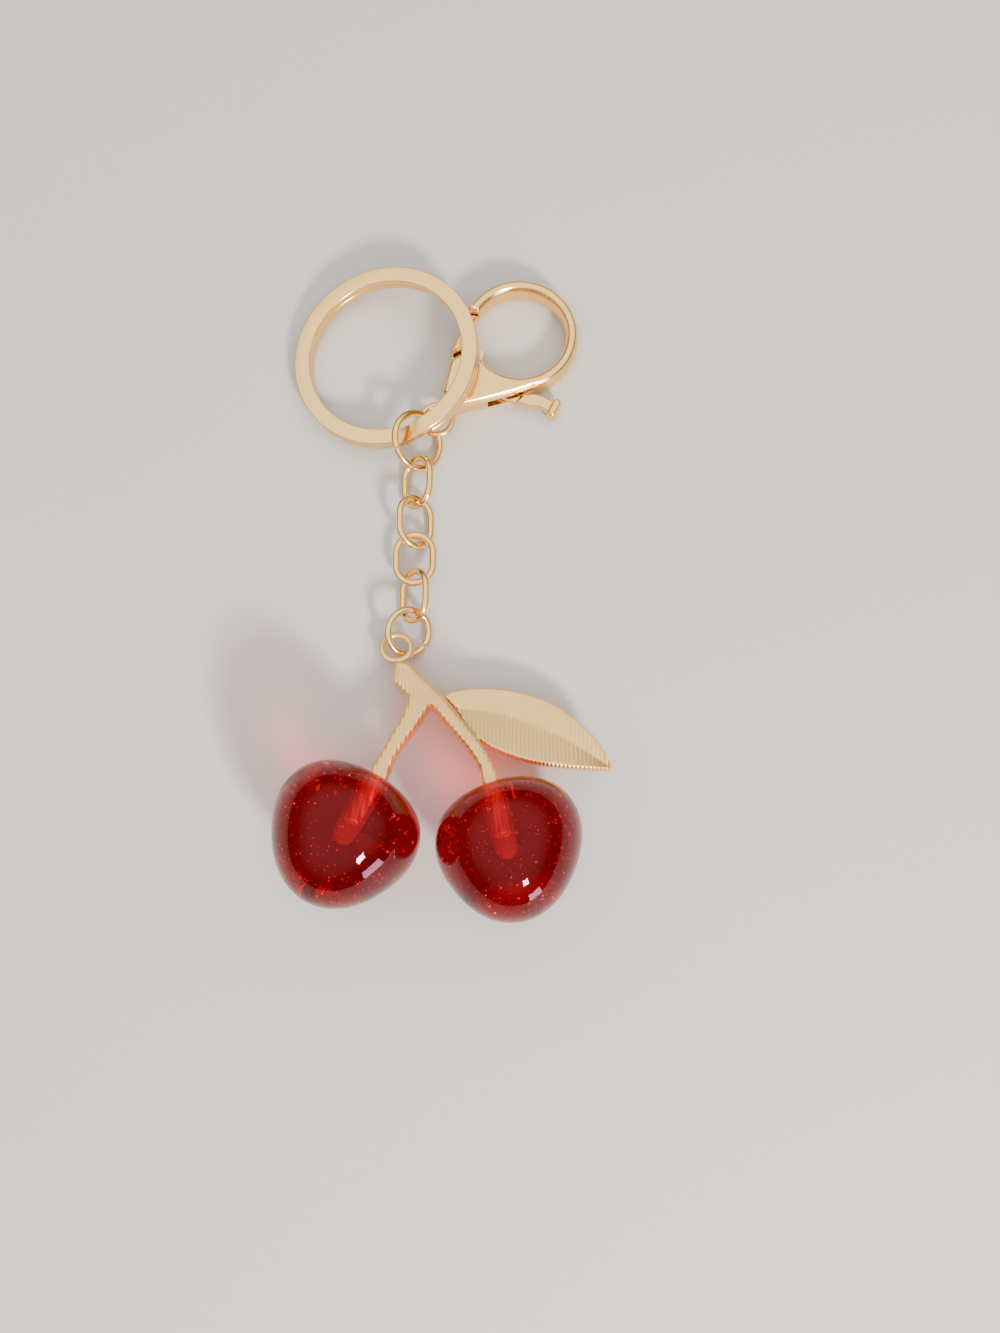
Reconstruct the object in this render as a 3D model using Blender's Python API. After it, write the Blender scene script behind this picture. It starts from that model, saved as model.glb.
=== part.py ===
"""Cherry key charm: two clear red resin cherries on a gold-plated stalk-and-leaf casting, a short
chain, a flat split ring and a trigger clasp. It lies on a table, as it was put down.

World: metres, +Z up, +Y from the cherries towards the split ring, origin under the middle of the
whole charm. Every length below is in millimetres and every angle in degrees, and the helpers at the
end of the shape section turn them into metres."""

from math import acos, atan2, cos, hypot, pi, radians, sin

import bmesh
import bpy
from mathutils import Euler, Matrix, Vector

MM = 0.001

# ---------------------------------------------------------------- driving dimensions

# Flat split ring: one strip wound twice, lying with its right side raised on the clasp.
RING_OUTER = 30.0
RING_INNER = 25.0
RING_STRIP = 1.15  # thickness of the strip
RING_PITCH = 1.25  # from one turn to the next, so the turns stand 0.1 apart
RING_RAMP = 24.0  # the angle over which the strip climbs from turn to turn
RING_RAMP_AT = -59.0  # where the ramp ends, from +X
RING_TILT = 10.8
RING_AT = Vector((-17.9, 49.4, 0.0))  # under the ring's centre, on the table
RING_STEP = 7.5  # angle of one segment
RING_EDGE = 0.18  # chamfer along the strip's edges

# Trigger clasp, in its own frame: X from the eye to the hook, Y to the gate's side, Z up.
CLASP_FROM_RING = Vector((7.87, -9.81, 0.0))
CLASP_HEADING = 46.8
BODY_THICK = 4.2
EYE_HEIGHT = 2.2
EYE_RADIUS = 2.45  # of the eye's centre line
EYE_WIRE = 0.5
HOOK_X = 19.27
HOOK_INNER = 7.35
HOOK_OUTER = 9.5
PIVOT = Vector((8.6, 1.4))
KNUCKLE = 3.7  # radius of the body's end around the pivot
GATE_GAP = 0.3
GATE_LENGTH = 10.5  # from the pivot to the hook's tip
GATE_OPENS = 20.0  # the gate swings inwards by this much
PIN_RADIUS = 0.65
PIN_PLAY = 0.08
SLOT = (1.15, 3.05)  # heights of the slot that the lever rocks in
LEVER = (1.3, 2.4)  # heights of the lever's plate in the slot
TRIGGER = (1.3, 2.9)
THUMB = (0.8, 3.6)
GATE = (0.35, 3.85)
SPRING_WIRE = 0.12
SPRING_COIL = 0.95

# Places from here on are measured in one flat frame on the table; ORIGIN below becomes (0, 0, 0).
# Round wire rings and oval links. Each pose is (x, y, z) of the centre, then the roll that lifts
# the right side and the pitch that lifts the top.
JUMP_RADIUS = 4.35  # centre line of the ring that joins ring, clasp and chain
JUMP_WIRE = 0.58
JUMP_POSE = (-12.97, 35.51, 3.54, -41.2, 8.2)
JUMP_CUT = 203.0
JUMP_OPEN = 0.16
LINK_HALF = 3.85  # half length of a link, on its centre line
LINK_SIDE = 2.9  # half width, also the radius of its ends
LINK_WIRE = 0.565
LINK_POSES = (
    (-13.02, 29.06, 2.59, 44.0, 0.0),
    (-13.23, 22.58, 2.40, -38.0, 0.0),
    (-13.29, 16.57, 2.42, 5.7, 0.0),
    (-13.24, 10.61, 2.76, 48.5, 0.0),
)
CHARM_RING_RADIUS = 3.47
CHARM_RING_WIRE = 0.56
CHARM_RING_POSE = (-14.03, 4.89, 2.58, -30.9, 16.5)
CHARM_RING_CUT = -41.0
CHARM_RING_OPEN = 0.7
CHARM_PIVOT = 234.0  # where the casting's loop hangs, round the charm ring
CLASP_PIVOT = 50.0  # where the clasp's eye hangs, round the jump ring

# Stalk casting, in its own frame: origin at the middle of the loop, Y towards the chain, Z its face.
CHARM_AT = Vector((-15.86, 2.40, 2.57))
CHARM_SLOPE = 16.13  # it climbs from the loop to the cherries
CHARM_ROLL = 1.57  # and leans to the right, so that both cherries touch the table
LOOP_RADIUS = 2.2
LOOP_WIRE = 0.5
STALK_HALF = 1.3  # half thickness of branch and stalks
STALK_EDGE = 0.55
LEAF = (-1.0, 0.55)  # heights of the leaf's faces at its rim
LEAF_VALLEY = 0.45  # depth of the fold along the midrib
PEG_RADIUS = 0.85
PEG_LENGTH = 7.0

# Cherries: a turned body whose radius follows the angle from the stalk, with one shoulder fuller.
CHERRY_RADII = (10.24, 0.09, -0.38, -0.65, -0.10)  # cosine series, from the stalk's side
BORE_RADIUS = 1.5
BORE_DEPTH = 9.2
GLUE_PLAY = 0.06
SEAT_SCALE = 1.012  # the stalks end on this slightly larger copy of each cherry
LEFT_CHERRY = {"at": (-6.30, -29.95, 0.0), "heading": -25.0, "lean": 0.15, "size": 1.0}
RIGHT_CHERRY = {"at": (16.95, -31.75, 0.0), "heading": 12.0, "lean": -0.45, "size": 0.985}

ORIGIN = Vector((-8.342, 13.084, 0.0))  # the middle of the whole charm, on the table


# ---------------------------------------------------------------- scene and materials


def empty_scene():
    for obj in list(bpy.data.objects):
        bpy.data.objects.remove(obj, do_unlink=True)


def principled(name, colour, roughness, metallic=0.0, transmission=0.0):
    material = bpy.data.materials.new(name)
    material.use_nodes = True
    shader = material.node_tree.nodes["Principled BSDF"]
    shader.inputs["Base Color"].default_value = (*colour, 1.0)
    shader.inputs["Roughness"].default_value = roughness
    shader.inputs["Metallic"].default_value = metallic
    shader.inputs["Transmission Weight"].default_value = transmission
    material.diffuse_color = (*colour, 1.0)
    return material


# ---------------------------------------------------------------- shapes, in millimetres


def arc(centre, radius, start, end, step=9.0):
    """Points on an arc from one angle to the other, both included."""
    count = max(2, round(abs(end - start) / step) + 1)
    turns = [radians(start + (end - start) * i / (count - 1)) for i in range(count)]
    return [(centre[0] + radius * cos(t), centre[1] + radius * sin(t)) for t in turns]


def bearing(centre, point):
    """The angle at which a point is seen from a centre."""
    return atan2(point[1] - centre[1], point[0] - centre[0]) * 180 / pi


def circles_meet(a, ra, b, rb, side):
    """Where two circles cross, on the left (+1) or right (-1) of the way from a to b."""
    apart = hypot(b[0] - a[0], b[1] - a[1])
    turn = acos((ra**2 + apart**2 - rb**2) / (2 * ra * apart))
    angle = atan2(b[1] - a[1], b[0] - a[0]) + side * turn
    return (a[0] + ra * cos(angle), a[1] + ra * sin(angle))


def smooth(points, steps=4):
    """A curve through the points, with steps between each two (Catmull-Rom)."""
    ends = [points[0], *points, points[-1]]
    out = []
    for p0, p1, p2, p3 in zip(ends, ends[1:], ends[2:], ends[3:]):
        for i in range(steps):
            t = i / steps
            out.append(
                tuple(
                    0.5 * (2 * b + (c - a) * t + (2 * a - 5 * b + 4 * c - d) * t**2
                           + (3 * b - a - 3 * c + d) * t**3)
                    for a, b, c, d in zip(p0, p1, p2, p3)
                )
            )
    return [*out, tuple(points[-1])]


def inset(outline, by):
    """A counter-clockwise outline moved inwards, with its corners' miters kept short."""
    out = []
    for i, here in enumerate(outline):
        before = Vector(outline[i - 1])
        after = Vector(outline[(i + 1) % len(outline)])
        one = (Vector(here) - before).normalized()
        two = (after - Vector(here)).normalized()
        inward = Vector((-one.y - two.y, one.x + two.x))
        inward.normalize()
        lean = max(0.5, inward.dot(Vector((-one.y, one.x))))
        out.append(Vector(here) + inward * (by / lean))
    return out


def without_repeats(outline):
    """Drops points that sit on the one before, such as where two arcs join."""
    out = []
    for point in outline:
        if not out or hypot(point[0] - out[-1][0], point[1] - out[-1][1]) > 0.05:
            out.append(point)
    if hypot(out[0][0] - out[-1][0], out[0][1] - out[-1][1]) < 0.05:
        out.pop()
    return out


def skin(rings):
    """A closed mesh from a stack of equal rings of points, with flat or fanned ends."""
    mesh = bmesh.new()
    loops = [[mesh.verts.new(Vector(p) * MM) for p in ring] for ring in rings]
    for low, high in zip(loops, loops[1:]):
        for i in range(len(low)):
            j = (i + 1) % len(low)
            mesh.faces.new((low[i], low[j], high[j], high[i]))
    mesh.faces.new(list(reversed(loops[0])))
    mesh.faces.new(loops[-1])
    return mesh


def rounded_plate(outline, low, high, edge, steps=3):
    """A plate with the outline's shape and rounded edges; the outline runs counter-clockwise."""
    outline = without_repeats(outline)
    turns = [pi / 2 * i / steps for i in range(steps + 1)]
    lower = [(edge * (1 - sin(t)), low + edge * (1 - cos(t))) for t in turns]
    upper = [(by, high + low - z) for by, z in reversed(lower)]
    rings = [[(p.x, p.y, z) for p in inset(outline, by)] for by, z in lower + upper]
    return skin(rings)


def cylinder(centre, radius, low, high, sides=20):
    ring = arc(centre, radius, 0, 360 - 360 / sides, 360 / sides)
    return skin([[(x, y, z) for x, y in ring] for z in (low, high)])


def prism(outline, low, high):
    return skin([[(x, y, z) for x, y in outline] for z in (low, high)])


def torus(radius, wire_radius, height=0.0, around=30, sides=8):
    """A closed ring of round wire, lying flat at a height."""
    mesh = bmesh.new()
    loops = []
    for i in range(around):
        turn = 2 * pi * i / around
        loop = []
        for j in range(sides):
            swing = 2 * pi * (j + 0.5) / sides
            reach = radius + wire_radius * cos(swing)
            rise = height + wire_radius * sin(swing)
            loop.append(mesh.verts.new(Vector((reach * cos(turn), reach * sin(turn), rise)) * MM))
        loops.append(loop)
    for one, two in zip(loops, loops[1:] + loops[:1]):
        for j in range(sides):
            k = (j + 1) % sides
            mesh.faces.new((one[j], two[j], two[k], one[k]))
    return mesh


def ring_path(radius, start=0.0, end=360.0, count=32):
    """Points round a circle; an open stretch of it ends on both its angles."""
    span = end - start
    last = count if abs(span) >= 360 else count - 1
    turns = [radians(start + span * i / last) for i in range(count)]
    return [Vector((radius * cos(t), radius * sin(t), 0)) for t in turns]


def oval_path(half, side, count=12):
    """Points round an oval with half-round ends, long in Y."""
    straight = half - side
    top = [(x, y + straight) for x, y in arc((0, 0), side, 0, 180, 180 / count)]
    return [Vector((x, y, 0)) for x, y in top + [(-x, -y) for x, y in top]]


# ---------------------------------------------------------------- making objects


def as_object(name, mesh, material, matrix=None):
    """A named object from a bmesh, with flat faces kept and round ones shaded smooth."""
    bmesh.ops.recalc_face_normals(mesh, faces=mesh.faces)
    data = bpy.data.meshes.new(name)
    mesh.to_mesh(data)
    mesh.free()
    data.shade_smooth()
    data.set_sharp_from_angle(angle=radians(40))
    obj = bpy.data.objects.new(name, data)
    data.materials.append(material)
    bpy.context.scene.collection.objects.link(obj)
    if matrix is not None:
        obj.matrix_world = matrix
    return obj


def wire(name, path, radius, material, matrix=None, closed=True, sides=2):
    """Round wire along a path, as a curve with a bevel and filled ends."""
    curve = bpy.data.curves.new(name, "CURVE")
    curve.dimensions = "3D"
    curve.bevel_depth = radius * MM
    curve.bevel_resolution = sides
    curve.use_fill_caps = True
    curve.materials.append(material)
    spline = curve.splines.new("POLY")
    spline.points.add(len(path) - 1)
    for point, place in zip(spline.points, path):
        point.co = (*(Vector(place) * MM), 1.0)
    spline.use_cyclic_u = closed
    obj = bpy.data.objects.new(name, curve)
    bpy.context.scene.collection.objects.link(obj)
    if matrix is not None:
        obj.matrix_world = matrix
    return obj


def combine(target, other, operation):
    """A Boolean of the target with another object, which stays as a hidden guide."""
    other.hide_render = True
    other.display_type = "WIRE"
    other.parent = target
    other.matrix_parent_inverse = target.matrix_world.inverted()
    modifier = target.modifiers.new(other.name, "BOOLEAN")
    modifier.operation = operation
    modifier.solver = "EXACT"
    modifier.object = other


def place(point, turn=None):
    """The world matrix of a frame at a point of the poses' frame."""
    at = Matrix.Translation((Vector(point) - ORIGIN) * MM)
    return at @ turn.to_matrix().to_4x4() if turn else at


def attitude(roll, pitch):
    """The turn that lifts the right side by roll, then the top by pitch."""
    return Euler((radians(pitch), -radians(roll), 0.0), "YXZ")


# ---------------------------------------------------------------- split ring


def split_ring(gold):
    """The strip runs round the lower turn, climbs the ramp and runs round the upper turn."""
    inner, outer = RING_INNER / 2, RING_OUTER / 2
    turns = 720 - RING_RAMP
    count = round(turns / RING_STEP)
    rings = []
    for i in range(count + 1):
        along = turns * i / count
        climb = min(1.0, max(0.0, (along - 360 + RING_RAMP) / RING_RAMP))
        low = RING_PITCH * (1 - cos(pi * climb)) / 2
        angle = radians(RING_RAMP_AT + along)
        e = RING_EDGE
        section = (
            (inner + e, 0), (outer - e, 0), (outer, e), (outer, RING_STRIP - e),
            (outer - e, RING_STRIP), (inner + e, RING_STRIP), (inner, RING_STRIP - e), (inner, e),
        )
        rings.append([(r * cos(angle), r * sin(angle), low + z) for r, z in section])
    tilt = Euler((0.0, -radians(RING_TILT), 0.0))
    lift = Vector((0, 0, RING_OUTER / 2 * sin(radians(RING_TILT))))
    return as_object("key_ring", skin(rings), gold, place(RING_AT + lift, tilt))


# ---------------------------------------------------------------- trigger clasp


def clasp_frame():
    heading = Euler((0.0, 0.0, radians(CLASP_HEADING)))
    return place(RING_AT + CLASP_FROM_RING, heading)


def gate_side():
    """The gate's side of the body's outline, from the eye to the knuckle."""
    return smooth([(3.4, 2.2), (5.2, 3.4), (8.2, 5.1)], 3)


def trigger_side():
    """The trigger's side of the body's outline, from the eye to the hook's bend."""
    return smooth([(3.4, -1.5), (6.5, -3.6), (10.5, -6.0), (13.9, -7.8)], 3)


def clasp_outline():
    """Body and hook in one outline, counter-clockwise from the eye along the trigger's side."""
    hook = (HOOK_X, 0.0)
    tip_out = circles_meet(hook, HOOK_OUTER, PIVOT, GATE_LENGTH, -1)
    tip_in = circles_meet(hook, HOOK_INNER, PIVOT, GATE_LENGTH, -1)
    heel = circles_meet(hook, HOOK_INNER, PIVOT, KNUCKLE, -1)
    outside = arc(hook, HOOK_OUTER, -122.0, bearing(hook, tip_out))
    tip = arc(PIVOT, GATE_LENGTH, bearing(PIVOT, tip_out), bearing(PIVOT, tip_in))
    inside = arc(hook, HOOK_INNER, bearing(hook, tip_in), bearing(hook, heel) - 360.0)
    knuckle = arc(PIVOT, KNUCKLE, bearing(PIVOT, heel), bearing(PIVOT, (8.2, 5.1)))
    return trigger_side() + outside + tip + inside + knuckle + list(reversed(gate_side()))


def slot_outlines():
    """The slot's plan: a round room for the hub, a fan for the gate and one for the trigger."""
    room = arc(PIVOT, 2.7, 0, 342, 18)
    fan = [tuple(PIVOT), *arc(PIVOT, 6.0, -36.0, 104.0, 17)]
    reach = [trigger_ray(10.5, 1.05), trigger_ray(0.0, 1.05)]
    swing = Matrix.Rotation(-radians(GATE_OPENS), 2)
    back = [PIVOT + swing @ (Vector(trigger_ray(d, -1.05)) - PIVOT) for d in (0.0, 10.5)]
    return room, fan, [tuple(p) for p in [*back, *reach]]


def trigger_ray(distance, aside):
    """A point along the trigger's arm from the pivot, and off to its hook side."""
    way = (Vector((11.3, -6.7)) - PIVOT).normalized()
    return tuple(PIVOT + way * distance + Vector((-way.y, way.x)) * aside)


def clasp_body(gold):
    frame = clasp_frame()
    plate = rounded_plate(clasp_outline(), 0.0, BODY_THICK, 0.9)
    body = as_object("clasp_body", plate, gold, frame)
    combine(body, clasp_neck(gold, frame), "UNION")
    combine(body, clasp_eye(gold, frame), "UNION")
    for i, outline in enumerate(slot_outlines()):
        cutter = as_object(f"clasp_slot_{i + 1}", prism(outline, *SLOT), gold, frame)
        combine(body, cutter, "DIFFERENCE")
    hole = cylinder(PIVOT, PIN_RADIUS + PIN_PLAY, -1.0, BODY_THICK + 1.0)
    combine(body, as_object("clasp_pin_hole", hole, gold, frame), "DIFFERENCE")
    return body


def clasp_neck(gold, frame):
    """A taper from the thin eye to the full body."""
    stations = ((2.25, 0.9, 0.42), (3.4, 1.9, 1.1), (4.6, 2.5, 1.75))
    rings = []
    for x, half_wide, half_thick in stations:
        corner = 0.45 * half_thick
        middle = EYE_HEIGHT + (BODY_THICK / 2 - EYE_HEIGHT) * (x - 2.25) / 2.35
        offset = 0.35 * (x - 2.25) / 2.35
        section = inset_corners(half_wide, half_thick, corner)
        rings.append([(x, offset + y, middle + z) for y, z in section])
    return as_object("clasp_neck", skin(rings), gold, frame)


def inset_corners(half_wide, half_high, corner):
    """A rectangle with its corners cut, in Y and Z."""
    w, h, c = half_wide, half_high, corner
    return [(w - c, -h), (w, -h + c), (w, h - c), (w - c, h),
            (-w + c, h), (-w, h - c), (-w, -h + c), (-w + c, -h)]


def clasp_eye(gold, frame):
    return as_object("clasp_eye", torus(EYE_RADIUS, EYE_WIRE, EYE_HEIGHT), gold, frame)


def lever_frame():
    """The clasp's frame moved to the pivot, so that the lever turns about its own origin."""
    return clasp_frame() @ Matrix.Translation(PIVOT.to_3d() * MM)


def from_pivot(outline):
    return [(x - PIVOT.x, y - PIVOT.y) for x, y in outline]


def gate_outline():
    """The gate, from the knuckle along the clasp's outer side to the hook's tip and back."""
    hook = (HOOK_X, 0.0)
    end = GATE_LENGTH - 0.15
    near = KNUCKLE + GATE_GAP
    inner, outer = HOOK_INNER, HOOK_OUTER - 0.05
    tip_out = circles_meet(hook, outer, PIVOT, end, -1)
    tip_in = circles_meet(hook, inner, PIVOT, end, -1)
    heel = circles_meet(hook, inner, PIVOT, near, -1)
    side = smooth([(9.3, 5.95), (11.2, 6.85), (13.6, 7.6)], 2)
    back = arc(hook, outer, 126.0, bearing(hook, tip_out))
    inside = arc(hook, inner, bearing(hook, tip_in), bearing(hook, heel) - 7.0)
    knuckle = arc(PIVOT, near, bearing(PIVOT, heel) + 12.0, 78.0)
    outline = side + back + inside + knuckle
    return from_pivot(list(reversed(outline)))


def lever_plate_outline():
    """Hub, the tongue under the gate and the trigger's arm, as one outline about the pivot."""
    reach, hub = 5.2, 2.3
    arm = [(9.6, -0.8), (9.6, 0.8), (2.1, 0.8)]
    arm = from_pivot([trigger_ray(distance, aside) for distance, aside in arm])
    tongue = arc((0, 0), reach, 12.0, 78.0, 11)
    return [*arm, *arc((0, 0), hub, -38.0, -12.0, 13), *tongue, *arc((0, 0), hub, 100.0, 265.0, 15)]


def clasp_lever(gold):
    """Gate, hub and trigger. The gate and the thumb piece are thick, the rest fits the slot."""
    frame = lever_frame()
    lever = as_object("clasp_lever", prism(lever_plate_outline(), *LEVER), gold, frame)
    gate = rounded_plate(gate_outline(), *GATE, 0.6)
    combine(lever, as_object("lever_gate", gate, gold, frame), "UNION")
    bend = rounded_plate(from_pivot(trigger_outline()), *TRIGGER, 0.25, 2)
    combine(lever, as_object("lever_bend", bend, gold, frame), "UNION")
    thumb = rounded_plate(from_pivot(thumb_outline()), *THUMB, 0.35, 2)
    combine(lever, as_object("lever_thumb", thumb, gold, frame), "UNION")
    hole = cylinder((0, 0), PIN_RADIUS + PIN_PLAY, 0.0, BODY_THICK)
    combine(lever, as_object("lever_pin_hole", hole, gold, frame), "DIFFERENCE")
    return lever


def trigger_outline():
    """The arm outside the body: it swells and bends outwards to the thumb piece."""
    hook_side = smooth([(12.25, -7.3), (13.9, -8.9), (14.75, -11.0), (14.8, -12.3)], 2)
    eye_side = smooth([(13.1, -12.4), (12.55, -10.6), (11.3, -8.6), (10.7, -7.3)], 2)
    return list(reversed(hook_side + eye_side))


def thumb_outline():
    """A short bar across the end of the arm."""
    across = Vector((0.96, 0.28))
    out = Vector((0.28, -0.96))
    middle = Vector((13.95, -12.5))
    corners = [middle + across * x + out * y
               for x, y in ((1.8, 0.65), (1.8, -0.65), (-1.8, -0.65), (-1.8, 0.65))]
    return [tuple(c) for c in corners]


def clasp_pin(gold):
    pin = cylinder((0, 0), PIN_RADIUS, 0.05, BODY_THICK - 0.05, 24)
    return as_object("clasp_pivot_pin", pin, gold, lever_frame())


def clasp_spring(steel):
    """One turn and a quarter of wire round the pin; both legs leave the coil at a tangent."""
    base = LEVER[1] + 0.06 + SPRING_WIRE
    arm_end = Vector(trigger_ray(4.2, 0.0)) - PIVOT
    start = bearing((0, 0), arm_end) + acos(SPRING_COIL / arm_end.length) * 180 / pi
    around = arc((0, 0), SPRING_COIL, start, start + 450.0, 20.0)
    rise = 0.3 / (len(around) - 1)
    coil = [(x, y, base + rise * i) for i, (x, y) in enumerate(around)]
    away = Vector((cos(radians(start + 180.0)), sin(radians(start + 180.0)), 0.0)) * 2.0
    leg_end = Vector(coil[-1]) + away
    path = [(arm_end.x, arm_end.y, base), *coil, leg_end]
    return wire("clasp_spring", path, SPRING_WIRE, steel, lever_frame(), closed=False, sides=1)


# ---------------------------------------------------------------- chain


def hung(name, path, radius, pose, pivot, gold, closed=True):
    """Wire whose origin is the point it swings about, with its centre and turn from its pose."""
    turn = attitude(pose[3], pose[4])
    shift = turn.to_matrix().transposed() @ (Vector(pose[:3]) - pivot)
    return wire(name, [p + shift for p in path], radius, gold, place(pivot, turn), closed)


def foot(pose, reach):
    """The lowest point of a link or ring on its centre line, where the next one hangs."""
    return on_wire(pose, Vector((0, -reach, 0)))


def on_wire(pose, local):
    return Vector(pose[:3]) + attitude(pose[3], pose[4]).to_matrix() @ local


def band_point():
    """The middle of the split ring's band where the jump ring hangs on it."""
    angle = radians(-70.6)
    mid = (RING_INNER + RING_OUTER) / 4
    tilt = radians(RING_TILT)
    along = mid * cos(angle)
    level = (RING_PITCH + RING_STRIP) / 2
    lift = RING_OUTER / 2 * sin(tilt)
    local = Vector((along * cos(tilt) - level * sin(tilt), mid * sin(angle),
                    lift + along * sin(tilt) + level * cos(tilt)))
    return RING_AT + local


def cut_ring(radius, cut, opening):
    """A ring's path, open where the wire's ends meet."""
    half = opening / radius * 90 / pi
    return ring_path(radius, cut + half, cut + 360 - half - 0.001, 33)


def chain(gold):
    """From the split ring down: jump ring, four links, charm ring."""
    hung("top_jump_ring", cut_ring(JUMP_RADIUS, JUMP_CUT, JUMP_OPEN), JUMP_WIRE,
         JUMP_POSE, band_point(), gold, closed=False)
    pivot = foot(JUMP_POSE, JUMP_RADIUS)
    for number, pose in enumerate(LINK_POSES, 1):
        hung(f"chain_link_{number}", oval_path(LINK_HALF, LINK_SIDE), LINK_WIRE, pose, pivot, gold)
        pivot = foot(pose, LINK_HALF)
    ring = cut_ring(CHARM_RING_RADIUS, CHARM_RING_CUT, CHARM_RING_OPEN)
    hung("charm_jump_ring", ring, CHARM_RING_WIRE, CHARM_RING_POSE, pivot, gold, closed=False)


# ---------------------------------------------------------------- charm


def charm_frame():
    return place(CHARM_AT, attitude(-CHARM_ROLL, -CHARM_SLOPE))


def branch_outline():
    """Cut branch and its two stalks in one outline, counter-clockwise from the branch's cut end."""
    cut_end = [(-0.1, -2.6), (-0.2, -6.1)]
    left_outer = smooth([(2.1, -8.3), (1.35, -11.4), (-0.75, -15.8), (-3.4, -21.3)])
    left_inner = smooth([(-0.65, -22.6), (0.9, -17.7), (3.6, -13.4), (5.45, -10.0)])
    right_inner = smooth([(5.85, -10.2), (8.4, -13.4), (11.0, -16.6), (12.9, -19.8), (13.5, -23.3)])
    right_outer = smooth([(16.2, -22.6), (14.85, -19.0), (12.8, -15.4), (10.4, -12.3), (7.4, -8.3)])
    return cut_end + left_outer + left_inner + right_inner + right_outer + [(1.9, -2.7)]


def leaf_upper_edge():
    return smooth([(7.6, -8.2), (8.6, -7.4), (11.7, -6.8), (16.3, -6.85), (20.7, -7.8), (24.5, -9.6),
                   (28.2, -12.7), (30.7, -15.9), (32.2, -19.15)], 3)


def leaf_lower_edge():
    return smooth([(32.15, -19.5), (30.0, -19.5), (25.5, -19.3), (20.5, -18.6), (16.8, -17.4),
                   (14.0, -16.0), (11.6, -14.0)], 3)


def leaf_midrib():
    return smooth([(9.4, -10.0), (15.5, -10.8), (20.6, -12.6), (24.4, -14.3), (28.1, -16.5),
                   (32.18, -19.32)], 3)


def leaf_mesh():
    """Strips across the leaf from its lower edge over the midrib to its upper edge, both faces."""
    rows = 17
    edges = [resample(curve, rows) for curve in
             (list(reversed(leaf_lower_edge())), leaf_midrib(), leaf_upper_edge())]
    low, high = LEAF
    mesh = bmesh.new()
    grid = []
    for i in range(rows):
        lower, rib, upper = (Vector(edge[i]) for edge in edges)
        section = []
        for share in (0.0, 0.06, 0.53, 1.0):
            section.append((lower.lerp(rib, share), share))
        for share in (0.53, 0.06, 0.0):
            section.append((upper.lerp(rib, share), share))
        tops, bottoms = [], []
        for point, share in section:
            rim = 0.45 if share == 0.0 else 0.0
            dip = LEAF_VALLEY * share
            tops.append(mesh.verts.new(Vector((*point, high - dip - rim)) * MM))
            bottoms.append(mesh.verts.new(Vector((*point, low - dip + rim)) * MM))
        grid.append(tops + list(reversed(bottoms)))
    for one, two in zip(grid, grid[1:]):
        for i in range(len(one)):
            j = (i + 1) % len(one)
            mesh.faces.new((one[i], one[j], two[j], two[i]))
    mesh.faces.new(grid[0])
    mesh.faces.new(list(reversed(grid[-1])))
    return mesh


def resample(points, count):
    """The same number of points on a curve, evenly along its length."""
    lengths = [0.0]
    for a, b in zip(points, points[1:]):
        lengths.append(lengths[-1] + hypot(b[0] - a[0], b[1] - a[1]))
    out = []
    for i in range(count):
        want = lengths[-1] * i / (count - 1)
        k = max(0, min(len(points) - 2, sum(length < want for length in lengths) - 1))
        share = (want - lengths[k]) / (lengths[k + 1] - lengths[k])
        out.append(Vector(points[k]).lerp(Vector(points[k + 1]), min(1.0, share)))
    return out


def peg(cherry, gold, name, frame):
    """The casting's peg: from inside the stalk's end into the cherry, along its bore."""
    top = cherry_top(cherry)
    mesh = cylinder((0, 0), PEG_RADIUS, top - PEG_LENGTH, top + 1.6, 16)
    return as_object(name, mesh, gold, frame @ cherry_axis(cherry))


def cherry_top(cherry):
    """Height of the stalk's entry above the cherry's middle."""
    return sum(CHERRY_RADII) * cherry["size"]


def cherry_axis(cherry):
    """The cherry's own frame in the charm's: Z along its bore, out at the stalk."""
    turn = Euler((-pi / 2, 0.0, 0.0)).to_matrix().to_4x4()
    heading = Matrix.Rotation(radians(cherry["heading"]), 4, "Z")
    return Matrix.Translation(Vector(cherry["at"]) * MM) @ heading @ turn


def stalk_casting(gold):
    frame = charm_frame()
    plate = rounded_plate(branch_outline(), -STALK_HALF, STALK_HALF, STALK_EDGE, 2)
    casting = as_object("stalk_casting", plate, gold, frame)
    for side, cherry in (("left", LEFT_CHERRY), ("right", RIGHT_CHERRY)):
        clear = {**cherry, "size": cherry["size"] * SEAT_SCALE}
        seat = as_object(f"seat_{side}", cherry_mesh(clear), gold, frame @ cherry_axis(cherry))
        combine(casting, seat, "DIFFERENCE")
    combine(casting, as_object("leaf", leaf_mesh(), gold, frame), "UNION")
    combine(casting, as_object("hanging_loop", torus(LOOP_RADIUS, LOOP_WIRE), gold, frame), "UNION")
    combine(casting, peg(LEFT_CHERRY, gold, "left_peg", frame), "UNION")
    combine(casting, peg(RIGHT_CHERRY, gold, "right_peg", frame), "UNION")
    return casting


def cherry_radius(polar, around, cherry):
    """The radius at an angle from the stalk, fuller on one shoulder."""
    series = sum(share * cos(k * polar) for k, share in enumerate(CHERRY_RADII))
    shoulder = cherry["lean"] * sin(polar) * (1 + cos(polar)) * cos(around)
    return cherry["size"] * series - shoulder


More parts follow.
